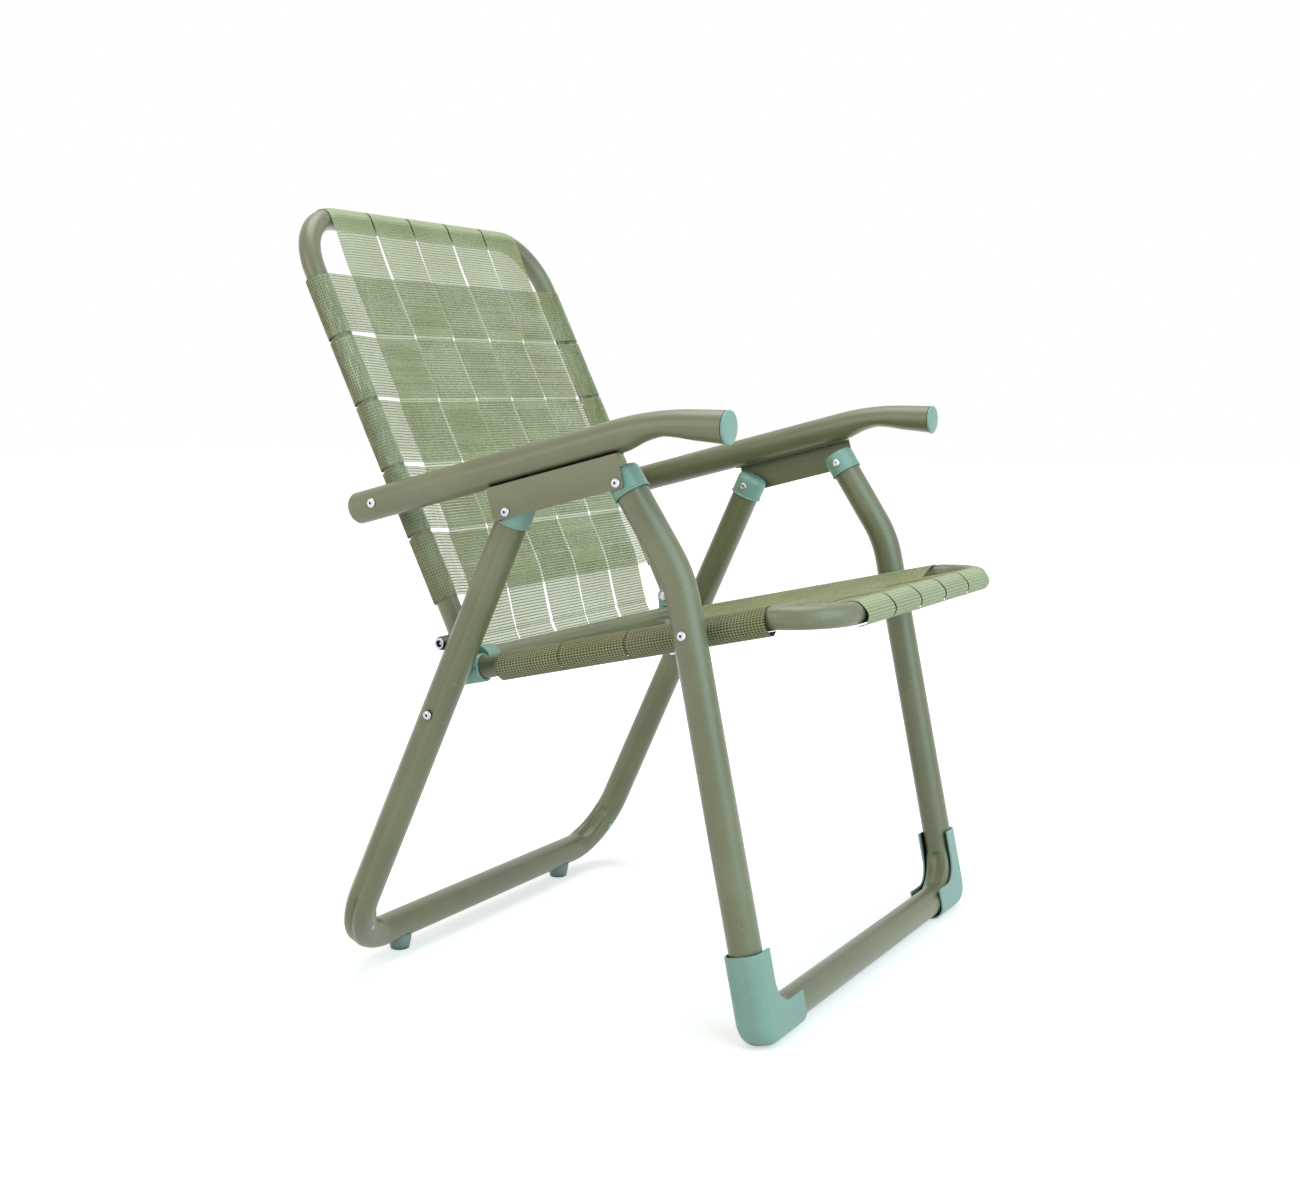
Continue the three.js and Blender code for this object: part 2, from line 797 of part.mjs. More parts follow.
addRivets('arm_rivet', armPivot, frameInnerFace, armOuterFace, true);
addRivets('front_top_rivet', frontTopPivot, capInnerFace, bracketOuter, true);
addRivets('rear_top_rivet', rearTopPivot, capInnerFace, bracketOuter, true);
addRivets('seat_rivet', seatPivot, frameInnerFace, legOuterFace, true);
addRivets('link_rivet', linkPivot, legInnerFace + seatGap, legOuterFace, false);
addBushes('arm_bush', armPivot, armInnerFace);
addBushes('seat_bush', seatPivot, legInnerFace);

// Links: flat bars with round ends, from the hinge pin to the rear leg's rivet
const linkReach = linkPivot.clone().sub(hinge);
const linkTurn = Math.atan2(linkReach.y, linkReach.x);
const linkOutline = [];
for (const [centre, start] of [[hinge, Math.PI / 2], [linkPivot, -Math.PI / 2]]) {
  for (let angle = 0; angle <= Math.PI; angle += radians(arcStep * 2)) {
    const direction = linkTurn + start + angle;
    const point = new THREE.Vector2(Math.cos(direction), Math.sin(direction));
    linkOutline.push(point.multiplyScalar(linkHalfWidth).add(centre));
  }
}
const linkBar = slab(linkOutline, linkThickness);
linkBar.applyMatrix4(
  new THREE.Matrix4().makeBasis(
    new THREE.Vector3(0, 1, 0),
    new THREE.Vector3(0, 0, 1),
    new THREE.Vector3(1, 0, 0)
  )
);
linkBar.translate(linkFace, 0, 0);
const link = cut(linkBar, [
  crossHole(pinHoleRadius, 0, 0),
  crossHole(rivetHoleRadius, linkPivot.x, linkPivot.y)
]);
addPair(standing, 'rear_link', link, steel);

// Webbing: every strap wraps the tubes at its ends and passes over and under those it crosses
const wrapRadius = frameRadius + seatGap + strapThickness / 2;
const weaveLift = (strapThickness + weaveGap) / 2;

// Points round a tube from a strap's free end to where it leaves straight for the target
function wrapRound(centre, target, side, endTurn) {
  const reach = target.clone().sub(centre);
  const leave = Math.atan2(reach.y, reach.x) + side * Math.acos(wrapRadius / reach.length());
  const sweep = endTurn(leave);
  const steps = Math.ceil(Math.abs(sweep) / radians(wrapStep));
  const points = [];
  for (let step = 0; step <= steps; step += 1) {
    const angle = leave + side * sweep * (1 - step / steps);
    const point = new THREE.Vector2(Math.cos(angle), Math.sin(angle));
    points.push(point.multiplyScalar(wrapRadius).add(centre));
  }
  return points;
}

// Flat stretches over each crossing strap, stepping up or down between them
function crossings(places, levels, pitch, crossedWidth) {
  const reach = crossedWidth / 2 + (pitch - crossedWidth) * plateauShare;
  const points = [];
  places.forEach((place, index) => {
    points.push(new THREE.Vector2(place - reach, levels[index]));
    points.push(new THREE.Vector2(place + reach, levels[index]));
  });
  return points;
}

function mirroredEnds(leftEnd, middle) {
  const rightEnd = leftEnd.map((point) => new THREE.Vector2(-point.x, point.y)).reverse();
  return [...leftEnd, ...middle, ...rightEnd];
}

const uprightPlaces = [];
for (let column = 0; column < uprightCount; column += 1) {
  uprightPlaces.push((column - (uprightCount - 1) / 2) * uprightPitch);
}

function overUnder(row, column) {
  return (row + column) % 2 === 0 ? weaveLift : -weaveLift;
}

// Holes in the wraps for the bushes, on the outer side of the side tubes only
function bushHoles(y, z) {
  const reach = armHalfWidth;
  const hole = moved(cylinder(bushRadius + runGap, frameHalfWidth, reach), 0, y, z);
  return [hole, mirrorX(hole)];
}

// The mean surface of one panel, from the rail the straps leave to the cross tube
function panelLevel(start, end, place) {
  return start.y + (end.y - start.y) * (place - start.x) / (end.x - start.x);
}

function placesOf(first, pitch, count) {
  return Array.from({ length: count }, (unused, row) => first + crossStrapWidth / 2 + row * pitch);
}

// Adds the straps that run across one panel and those that run along it
function addPanel(panel) {
  const rows = placesOf(panel.firstRow, panel.rowPitch, panel.rowCount);
  const levels = rows.map((row) => panelLevel(panel.start, panel.end, row));
  const sweepTurn = () => radians(wrapSweep);
  rows.forEach((row, rowIndex) => {
    const heights = uprightPlaces.map((place, column) => levels[rowIndex] + overUnder(rowIndex, column));
    const middle = crossings(uprightPlaces, heights, uprightPitch, uprightWidth);
    const tube = new THREE.Vector2(-frameHalfWidth, panel.tubeLevel);
    const line = mirroredEnds(wrapRound(tube, middle[0], 1, sweepTurn), middle);
    const strap = ribbon(line, crossStrapWidth);
    const placed = panel.placeAcross(strap, row);
    add(panel.group, `${panel.name}_cross_strap_${rowIndex + 1}`, cut(placed, panel.holes), webbing);
  });
  uprightPlaces.forEach((place, column) => {
    const heights = levels.map((level, rowIndex) => level - overUnder(rowIndex, column));
    const middle = crossings(rows, heights, panel.rowPitch, crossStrapWidth);
    const line = panel.alongLine(middle);
    const strap = panel.placeAlong(ribbon(line, uprightWidth), place);
    add(panel.group, `${panel.name}_long_strap_${column + 1}`, strap, webbing);
  });
}

// Where the straps leave the cross tube, in the back's frame and in the seat's
const crossTube = new THREE.Vector2(-crossTubeAhead, -crossTubeDrop);
const crossInBack = crossTube.clone().rotateAround(hinge, radians(backLean - seatSlope));
const backPanelEnd = new THREE.Vector2(crossInBack.y, -crossInBack.x - wrapRadius);
const topRail = new THREE.Vector2(backLength, 0);

// Back panel: heights run forward from the back frame's plane
addPanel({
  name: 'back',
  group: backGroup,
  start: new THREE.Vector2(backLength, wrapRadius),
  end: backPanelEnd,
  tubeLevel: 0,
  firstRow: firstBackStrap,
  rowPitch: backStrapPitch,
  rowCount: backStrapCount,
  holes: bushHoles(0, armPivotUp),
  placeAcross(strap, row) {
    const placed = outward(strap.clone().scale(1, -1, 1));
    return placed.translate(0, 0, row - crossStrapWidth / 2);
  },
  alongLine(middle) {
    const top = wrapRound(topRail, middle[middle.length - 1], -1, () => radians(railSweep));
    const tail = new THREE.Vector2(uprightTail, panelLevel(this.start, this.end, uprightTail));
    return [tail, ...middle, ...top.reverse()];
  },
  placeAlong(strap, place) {
    const turn = new THREE.Matrix4().makeBasis(
      new THREE.Vector3(0, 0, 1),
      new THREE.Vector3(0, -1, 0),
      new THREE.Vector3(1, 0, 0)
    );
    return strap.clone().applyMatrix4(turn).translate(place - uprightWidth / 2, 0, 0);
  }
});

// Seat panel: places run forward from the hinge, heights up from it
const seatRail = new THREE.Vector2(seatLength, -seatRailDrop);
const crossAhead = new THREE.Vector2(crossTubeAhead, -crossTubeDrop);
const hemAngle = radians(180 + backLean - seatSlope);
addPanel({
  name: 'seat',
  group: seatGroup,
  start: new THREE.Vector2(seatLength, -seatRailDrop + wrapRadius),
  end: new THREE.Vector2(crossTubeAhead, -crossTubeDrop - wrapRadius),
  tubeLevel: -seatTubeDrop,
  firstRow: firstSeatStrap,
  rowPitch: seatStrapPitch,
  rowCount: seatStrapCount,
  holes: bushHoles(seatPivotAlong.x, seatPivotAlong.y),
  placeAcross(strap, row) {
    return strap.clone().rotateX(Math.PI / 2).translate(0, -row + crossStrapWidth / 2, 0);
  },
  alongLine(middle) {
    const front = wrapRound(seatRail, middle[middle.length - 1], -1, () => radians(railSweep));
    const rear = wrapRound(crossAhead, middle[0], -1, (leave) => leave + 2 * Math.PI - hemAngle);
    const rise = new THREE.Vector2(-Math.cos(hemAngle - Math.PI / 2), -Math.sin(hemAngle - Math.PI / 2));
    const hem = rear[0].clone().addScaledVector(rise, -seatHemRise);
    return [hem, ...rear, ...middle, ...front.reverse()];
  },
  placeAlong(strap, place) {
    const turn = new THREE.Matrix4().makeBasis(
      new THREE.Vector3(0, -1, 0),
      new THREE.Vector3(0, 0, 1),
      new THREE.Vector3(-1, 0, 0)
    );
    return strap.clone().applyMatrix4(turn).translate(place + uprightWidth / 2, 0, 0);
  }
});

// The origin is on the floor, half way between the foremost and rearmost webbing
const foremost = -seatLength * Math.cos(radians(seatSlope)) - seatRailDrop * Math.sin(radians(seatSlope));
const rearmost = backLength * alongBack.x;
standing.position.set(0, -(foremost + rearmost) / 2, hingeHeight);

export default chair;
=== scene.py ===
import json
from math import acos, atan2, ceil, cos, degrees, exp, pi, radians, sin, sqrt, tan

import bmesh
import bpy
from mathutils import Matrix, Vector


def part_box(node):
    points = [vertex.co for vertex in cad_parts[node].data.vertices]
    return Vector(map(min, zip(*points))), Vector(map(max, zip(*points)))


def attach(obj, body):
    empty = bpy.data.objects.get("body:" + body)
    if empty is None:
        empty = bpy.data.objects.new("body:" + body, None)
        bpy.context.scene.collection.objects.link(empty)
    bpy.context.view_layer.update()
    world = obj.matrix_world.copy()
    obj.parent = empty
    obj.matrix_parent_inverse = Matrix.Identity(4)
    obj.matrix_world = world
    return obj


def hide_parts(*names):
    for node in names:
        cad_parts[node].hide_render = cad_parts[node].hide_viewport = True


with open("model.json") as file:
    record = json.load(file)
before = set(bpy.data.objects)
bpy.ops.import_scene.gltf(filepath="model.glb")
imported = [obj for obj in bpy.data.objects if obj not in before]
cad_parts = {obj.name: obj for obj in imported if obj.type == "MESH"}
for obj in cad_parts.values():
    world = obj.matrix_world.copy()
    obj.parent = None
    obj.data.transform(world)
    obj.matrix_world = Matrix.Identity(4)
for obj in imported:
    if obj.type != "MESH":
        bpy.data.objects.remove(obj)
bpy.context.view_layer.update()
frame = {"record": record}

# Studio: a pale floor, a white room and soft lamps above and on both sides.
# The camera stands on the sitter's right, level with the arms, and looks a little down.
camera_place = Vector((-1.6741, -0.8992, 0.5822))
camera_yaw = radians(62.62)
camera_pitch = radians(-5.66)
camera_roll = radians(-0.14)

scene = bpy.context.scene
camera_ahead = Vector((
    sin(camera_yaw) * cos(camera_pitch),
    cos(camera_yaw) * cos(camera_pitch),
    sin(camera_pitch),
))
level_right = Vector((cos(camera_yaw), -sin(camera_yaw), 0))
level_up = level_right.cross(camera_ahead)
camera_right = level_right * cos(camera_roll) + level_up * sin(camera_roll)
camera_up = level_up * cos(camera_roll) - level_right * sin(camera_roll)

camera_data = bpy.data.cameras.new("camera")
camera_data.sensor_width = 36
camera_data.lens = 49.84
camera_data.shift_x = -0.0253
camera_data.shift_y = -0.0204
camera_data.clip_end = 60
camera = bpy.data.objects.new("camera", camera_data)
camera.matrix_world = (
    Matrix.Translation(camera_place)
    @ Matrix((camera_right, camera_up, -camera_ahead)).transposed().to_4x4()
)
scene.collection.objects.link(camera)
scene.camera = camera
scene.view_settings.view_transform = "Standard"

chair_middle = Vector((0, 0, 0.4))


def soft_lamp(name, from_chair, size, watts, tint):
    lamp_data = bpy.data.lights.new(name, "AREA")
    lamp_data.shape = "DISK"
    lamp_data.size = size
    lamp_data.energy = watts
    lamp_data.color = tint
    lamp = bpy.data.objects.new(name, lamp_data)
    lamp.location = chair_middle + from_chair
    lamp.rotation_mode = "QUATERNION"
    lamp.rotation_quaternion = (-from_chair).to_track_quat("-Z", "Y")
    scene.collection.objects.link(lamp)


soft_lamp("window_lamp", Vector((-0.9, -2.5, 1.3)), 3.2, 70, (0.60, 0.88, 1.0))
soft_lamp("near_lamp", Vector((-2.4, 1.2, 1.1)), 1.8, 18, (1.0, 0.93, 0.84))
soft_lamp("top_lamp", Vector((0.3, 0.4, 2.8)), 2.2, 38, (1.0, 1.0, 0.96))


# Sets a node's sockets, each by a value or by a link from another node
def fill_sockets(tree, node, sockets):
    for label, value in dict(sockets).items():
        if isinstance(value, bpy.types.NodeSocket):
            tree.links.new(value, node.inputs[label])
        else:
            node.inputs[label].default_value = value


# A node's settings come first, because they decide which sockets it has
def add_node(tree, kind, sockets=(), **settings):
    node = tree.nodes.new("ShaderNode" + kind)
    for label, value in settings.items():
        setattr(node, label, value)
    fill_sockets(tree, node, sockets)
    return node


def reckon(tree, operation, *values):
    return add_node(tree, "Math", enumerate(values), operation=operation).outputs[0]


def blended(tree, share, first, second):
    sockets = {"Factor": share, "A": first, "B": second}
    return add_node(tree, "Mix", sockets, data_type="RGBA").outputs["Result"]


def speckled(tree, vector, scale, detail=3.0):
    sockets = {"Vector": vector, "Scale": scale, "Detail": detail}
    return add_node(tree, "TexNoise", sockets).outputs["Fac"]


def spread(tree, value, low, high, floor=0.0, ceiling=1.0):
    sockets = {"Value": value, "From Min": low, "From Max": high, "To Min": floor, "To Max": ceiling}
    return add_node(tree, "MapRange", sockets, interpolation_type="SMOOTHSTEP").outputs["Result"]


# The share of a surface that the camera, a reflection or a clear piece sees as plain white
def seen_directly(tree):
    rays = add_node(tree, "LightPath").outputs
    bounced = reckon(tree, "MAXIMUM", rays["Is Camera Ray"], rays["Is Glossy Ray"])
    return reckon(tree, "MAXIMUM", bounced, rays["Is Transmission Ray"])


room = bpy.data.worlds.new("white_room")
scene.world = room
room.use_nodes = True
room_tree = room.node_tree
room_tree.nodes.clear()
room_light = add_node(room_tree, "Background", {"Color": (1, 0.99, 0.96, 1), "Strength": 0.38}).outputs[0]
room_seen = add_node(room_tree, "Background", {"Color": (1, 1, 1, 1), "Strength": 1.0}).outputs[0]
room_mix = add_node(room_tree, "MixShader", {"Fac": seen_directly(room_tree), 1: room_light, 2: room_seen})
add_node(room_tree, "OutputWorld", {"Surface": room_mix.outputs[0]})

floor_bm = bmesh.new()
bmesh.ops.create_grid(floor_bm, x_segments=1, y_segments=1, size=14)
floor_mesh = bpy.data.meshes.new("studio_floor")
floor_bm.to_mesh(floor_mesh)
floor_bm.free()
floor = bpy.data.objects.new("studio_floor", floor_mesh)
scene.collection.objects.link(floor)

floor_paint = bpy.data.materials.new("pale_floor")
floor_paint.use_nodes = True
floor_tree = floor_paint.node_tree
floor_tree.nodes.clear()
floor_place = add_node(floor_tree, "TexCoord").outputs["Object"]
floor_reach = add_node(floor_tree, "VectorMath", {0: floor_place}, operation="LENGTH").outputs["Value"]
floor_cloud = speckled(floor_tree, floor_place, 3, 2.0)
floor_tone = blended(floor_tree, floor_cloud, (0.80, 0.80, 0.80, 1), (0.82, 0.82, 0.82, 1))
floor_white = spread(floor_tree, floor_reach, 0.5, 1.7, 0.5, 1.0)
floor_matt = add_node(floor_tree, "BsdfDiffuse", {"Color": floor_tone}).outputs[0]
floor_dark = add_node(floor_tree, "Emission", {"Strength": 0}).outputs[0]
floor_glow = add_node(floor_tree, "Emission", {"Strength": floor_white}).outputs[0]
floor_shares = {"Fac": seen_directly(floor_tree), 1: floor_dark, 2: floor_glow}
floor_lift = add_node(floor_tree, "MixShader", floor_shares).outputs[0]
floor_sum = add_node(floor_tree, "AddShader", {0: floor_matt, 1: floor_lift}).outputs[0]
add_node(floor_tree, "OutputMaterial", {"Surface": floor_sum})
floor_mesh.materials.append(floor_paint)

# Back frame: a hairpin of 22 mm steel tube with two bends at the top, lacquered olive.
# Its open ends hang on the hinge pins, and the arms are riveted through it.
# Every piece is drawn in millimetres, square to its own frame, then leaned and scaled.
frame_radius = 11
frame_half_width = 220
back_lean = 25.3
back_length = 464
back_tail = 11
back_corner = 64
frame_sides = 32
frame_wall = 1.2
end_depth = 9
hinge = Vector((0, 97.426, 345))


def leaned(angle, at):
    return Matrix.Translation(at) @ Matrix.Rotation(-radians(angle), 4, "X")


on_back = leaned(back_lean, hinge)


def start_ring(bm, radius, sides, centre, along):
    turn = along.to_track_quat("Z", "X").to_matrix().to_4x4()
    made = bmesh.ops.create_circle(
        bm, cap_ends=False, segments=sides, radius=radius, matrix=Matrix.Translation(centre) @ turn
    )
    return list({edge for vert in made["verts"] for edge in vert.link_edges})


def verts_of(made):
    return [item for item in made if isinstance(item, bmesh.types.BMVert)]


def edges_of(made):
    return [item for item in made if isinstance(item, bmesh.types.BMEdge)]


def draw_on(bm, rim, travel, share=1.0):
    made = bmesh.ops.extrude_edge_only(bm, edges=rim)["geom"]
    verts = verts_of(made)
    bmesh.ops.translate(bm, verts=verts, vec=travel)
    if share != 1:
        centre = sum((vert.co for vert in verts), Vector()) / len(verts)
        bmesh.ops.scale(bm, verts=verts, vec=(share,) * 3, space=Matrix.Translation(-centre))
    return [edge for edge in edges_of(made) if set(verts).issuperset(edge.verts)]


def bend_on(bm, rim, centre, axis, turn, steps):
    ring = list({vert for edge in rim for vert in edge.verts})
    made = bmesh.ops.spin(
        bm, geom=ring + rim, cent=centre, axis=axis, angle=turn, steps=steps, use_duplicate=False
    )["geom_last"]
    return edges_of(made)


def close_end(bm, rim):
    bmesh.ops.edgeloop_fill(bm, edges=rim)


def hollow_end(bm, rim, inward, wall, depth):
    radius = max((vert.co - rim[0].verts[0].co).length for edge in rim for vert in edge.verts) / 2
    lip = draw_on(bm, rim, Vector(), 1 - wall / radius)
    deep = draw_on(bm, lip, inward * depth)
    close_end(bm, deep)


# Bends a tube through corner points, each with its own radius, and gives back both rims
def bent_tube(bm, corners, bends, radius, sides, step=6):
    into = (corners[1] - corners[0]).normalized()
    rim = start_ring(bm, radius, sides, corners[0], into)
    first = rim
    at = corners[0]
    for corner, after, bend in zip(corners[1:-1], corners[2:], bends):
        into = (corner - at).normalized()
        out = (after - corner).normalized()
        turn = into.angle(out)
        start = corner - into * bend * tan(turn / 2)
        rim = draw_on(bm, rim, start - at)
        axis = into.cross(out).normalized()
        centre = start + axis.cross(into) * bend
        rim = bend_on(bm, rim, centre, axis, turn, max(3, round(degrees(turn) / step)))
        at = corner + out * bend * tan(turn / 2)
    last = draw_on(bm, rim, corners[-1] - at)
    return first, last


def both_sides(points, half_width):
    near = [point - Vector((half_width, 0, 0)) for point in points]
    far = [point + Vector((half_width, 0, 0)) for point in reversed(points)]
    return near + far


# Makes a drawn shape a piece of the chair, with its finish, its body and the solids it stands for
def settle(bm, name, body, finish, nodes, lean=Matrix(), sharp=38, bevel=None):
    material, slot = finish
    bmesh.ops.transform(bm, matrix=Matrix.Scale(0.001, 4) @ lean, verts=bm.verts)
    bmesh.ops.remove_doubles(bm, verts=bm.verts, dist=1e-6)
    bmesh.ops.recalc_face_normals(bm, faces=bm.faces)
    mesh = bpy.data.meshes.new(name)
    bm.to_mesh(mesh)
    bm.free()
    mesh.shade_smooth()
    mesh.set_sharp_from_angle(angle=radians(sharp))
    mesh.materials.append(material)
    piece = bpy.data.objects.new(name, mesh)
    scene.collection.objects.link(piece)
    if bevel:
        rounding = piece.modifiers.new("softened_edges", "BEVEL")
        rounding.limit_method = "ANGLE"
        rounding.angle_limit = radians(sharp)
        rounding.width = bevel * 0.001
        rounding.segments = 2
        rounding.harden_normals = True
    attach(piece, body)
    if nodes:
        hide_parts(*nodes)
    return piece


# Node groups for the finishes, each built once and placed in the materials that use it
def new_group(name, inputs, outputs):
    group = bpy.data.node_groups.new(name, "ShaderNodeTree")
    for in_out, sockets in (("INPUT", inputs), ("OUTPUT", outputs)):
        for label, kind in sockets:
            group.interface.new_socket(label, in_out=in_out, socket_type="NodeSocket" + kind)
    return group, group.nodes.new("NodeGroupInput").outputs, group.nodes.new("NodeGroupOutput")


# Paint mottle: broad clouds of tone, fine dust specks and the orange peel of sprayed lacquer
mottle, mottle_in, mottle_out = new_group(
    "mottle",
    [("Vector", "Vector"), ("Deep", "Color"), ("Pale", "Color"), ("Dust", "Color")],
    [("Color", "Color"), ("Gloss", "Float"), ("Height", "Float")],
)
mottle_clouds = spread(mottle, speckled(mottle, mottle_in["Vector"], 9), 0.35, 0.65)
mottle_grain = speckled(mottle, mottle_in["Vector"], 420, 2)
mottle_tone = blended(mottle, mottle_clouds, mottle_in["Deep"], mottle_in["Pale"])
mottle_specks = spread(mottle, speckled(mottle, mottle_in["Vector"], 210, 4), 0.64, 0.74, 0, 0.5)
mottle_dusted = blended(mottle, mottle_specks, mottle_tone, mottle_in["Dust"])
mottle_gloss = reckon(mottle, "MULTIPLY_ADD", mottle_clouds, 0.10, 0.34)
mottle_dulled = reckon(mottle, "MULTIPLY_ADD", mottle_specks, 0.2, mottle_gloss)
fill_sockets(mottle, mottle_out, {"Color": mottle_dusted, "Gloss": mottle_dulled, "Height": mottle_grain})


# A colour as it reads on screen, made linear
def screen_color(red, green, blue):
    shares = [value / 255 for value in (red, green, blue)]
    return tuple(s / 12.92 if s <= 0.04045 else ((s + 0.055) / 1.055) ** 2.4 for s in shares) + (1,)


# Painted shade: the near-black colour that crevices, creases and gaps between parts are darkened towards
crevice_shade = screen_color(34, 32, 24)


# A material, with painted shade in its crevices, and the slot of the record that it finishes
def mottled_finish(name, slot, deep, pale, dust, bump, coat=0.0, metallic=0.0, coat_roughness=0.3):
    finish = bpy.data.materials.new(name)
    finish.use_nodes = True
    tree = finish.node_tree
    group = add_node(tree, "Group", {
        "Vector": add_node(tree, "TexCoord").outputs["Object"],
        "Deep": screen_color(*deep),
        "Pale": screen_color(*pale),
        "Dust": screen_color(*dust),
    }, node_tree=mottle).outputs
    # Painted shade: ambient occlusion darkens the colour where parts meet and in creases
    crevice = add_node(tree, "AmbientOcclusion", {"Distance": 0.009}, samples=6)
    unshaded_share = spread(tree, crevice.outputs["AO"], 0.15, 0.75)
    relief = add_node(tree, "Bump", {"Strength": bump, "Distance": 0.0004, "Height": group["Height"]})
    fill_sockets(tree, tree.nodes["Principled BSDF"], {
        "Base Color": blended(tree, unshaded_share, crevice_shade, group["Color"]),
        "Metallic": metallic,
        "Roughness": group["Gloss"],
        "Normal": relief.outputs["Normal"],
        "Coat Weight": coat,
        "Coat Roughness": coat_roughness,
    })
    return finish, slot


lacquer = mottled_finish(
    "olive_lacquer", "lacquered_tube", (100, 101, 68), (112, 113, 80), (132, 134, 108), 0.10, coat=0.6,
    coat_roughness=0.42,
)

back_bm = bmesh.new()
back_rims = bent_tube(
    back_bm,
    both_sides([Vector((0, 0, -back_tail)), Vector((0, 0, back_length))], frame_half_width),
    [back_corner, back_corner],
    frame_radius,
    frame_sides,
)
for rim in back_rims:
    hollow_end(back_bm, rim, Vector((0, 0, 1)), frame_wall, end_depth)
settle(back_bm, "back_tube", "back", lacquer, ["back_frame"], on_back)

# Seat frame: the same hairpin lying down, its front dipped under the sitter's knees.
# It hangs a tube's width and more below the hinge, held at the rear by the plastic corners.
seat_slope = 11.9
seat_drop = 31.22
seat_tail = 9
seat_dip = radians(9.5)
seat_dip_ahead = 337
seat_dip_radius = 60
seat_corner = 51
seat_front_run = 57
seat_length = seat_dip_ahead + seat_front_run * cos(seat_dip)
seat_rail_drop = seat_drop + seat_front_run * sin(seat_dip)
on_seat = leaned(seat_slope, hinge)

seat_bm = bmesh.new()
seat_side = [
    Vector((0, seat_tail, -seat_drop)),
    Vector((0, -seat_dip_ahead, -seat_drop)),
    Vector((0, -seat_length, -seat_rail_drop)),
]
seat_rims = bent_tube(
    seat_bm,
    both_sides(seat_side, frame_half_width),
    [seat_dip_radius, seat_corner, seat_corner, seat_dip_radius],
    frame_radius,
    frame_sides,
)
for rim in seat_rims:
    hollow_end(seat_bm, rim, Vector((0, -1, 0)), frame_wall, end_depth)
settle(seat_bm, "seat_tube", "seat", lacquer, ["seat_frame"], on_seat)

# Cross tube: a straight length of the same tube at the rear of the seat.
# Its ends are plugged into the sockets of the two plastic corners.
cross_ahead = 6
cross_drop = 23.4
cross_half = 203.3

cross_bm = bmesh.new()
cross_start = Vector((-cross_half, -cross_ahead, -cross_drop))
cross_rim = start_ring(cross_bm, frame_radius, frame_sides, cross_start, Vector((1, 0, 0)))
cross_far = draw_on(cross_bm, cross_rim, Vector((2 * cross_half, 0, 0)))
for rim in (cross_rim, cross_far):
    close_end(cross_bm, rim)
settle(cross_bm, "rear_cross_tube", "seat", lacquer, ["cross_tube"], on_seat)

# Legs: two wide loops of 31 mm tube, the front one kneed at the seat, both turned into rails.
# The bender's mandrel has pressed a groove into the inner side of each low bend,
# and a crease into the outer side of the two rear ones.
leg_radius = 15.5
leg_sides = 48
leg_half_width = 255
leg_over_rivet = 11
arm_slope = 14
arm_pivot_up = 149
front_pivot_ahead = 266
rear_pivot_ahead = 145
pivot_drop = 41
front_lean = 11.1
rear_lean = 25.4
front_rail_height = 18.7
rear_rail_height = 27
front_corner = 52
rear_corner = 65
knee = 120
knee_above = 50
groove_swing = 60
ridge_height = 0.28
ridge_place = 1.4
ridge_width = 0.32

along_back = Vector((0, sin(radians(back_lean)), cos(radians(back_lean))))
along_arm = Vector((0, -cos(radians(arm_slope)), sin(radians(arm_slope))))
under_arm = Vector((0, -sin(radians(arm_slope)), -cos(radians(arm_slope))))
down_front = Vector((0, -sin(radians(front_lean)), -cos(radians(front_lean))))
down_rear = Vector((0, sin(radians(rear_lean)), -cos(radians(rear_lean))))
arm_pivot = hinge + along_back * arm_pivot_up
front_top_pivot = arm_pivot + along_arm * front_pivot_ahead + under_arm * pivot_drop
rear_top_pivot = arm_pivot + along_arm * rear_pivot_ahead + under_arm * pivot_drop
seat_pivot = hinge + along_arm * front_pivot_ahead + under_arm * pivot_drop


def rail_point(pivot, down, height):
    return pivot + down * ((height - pivot.z) / down.z)


front_rail = rail_point(seat_pivot, down_front, front_rail_height)
rear_rail = rail_point(rear_top_pivot, down_rear, rear_rail_height)
knee_point = seat_pivot - down_front * knee_above
knee_up = (front_top_pivot - knee_point).normalized()
front_top = front_top_pivot + knee_up * leg_over_rivet
rear_top = rear_top_pivot - down_rear * leg_over_rivet


def eased(share):
    share = min(max(share, 0), 1)
    return share * share * (3 - 2 * share)


# Presses a groove and its two ridges into one low bend, along its inside or its outside
def press_groove(bm, corner, up_leg, inward, bend, depth, start, end, half=34, inside=1, fading=9):
    axis = up_leg.cross(inward).normalized()
    turn = up_leg.angle(inward)
    centre = corner + (up_leg + inward).normalized() * (bend / sin(turn / 2))
    spoke = (corner - centre).normalized()
    for vert in bm.verts:
        reach = vert.co - centre
        flat = reach - axis * reach.dot(axis)
        swing = degrees(flat.angle(spoke)) if flat.length > 1 else 180
        if swing > groove_swing or (vert.co - corner).length > bend * 1.6:
            continue
        side = reach.dot(axis)
        around = degrees(atan2(abs(side), (bend - flat.length) * inside))
        if around > half * 2.2:
            continue
        along = (1 if (flat.cross(spoke)).dot(axis) > 0 else -1) * swing
        fade = eased((along - start) / fading) * eased((end - along) / fading)
        groove = depth * (0.5 + 0.5 * cos(pi * min(around / half, 1)))
        ridge = ridge_height * depth * exp(-((around / half - ridge_place) / ridge_width) ** 2)
        middle = centre + flat.normalized() * bend
        vert.co += (middle - vert.co).normalized() * (groove - ridge) * fade


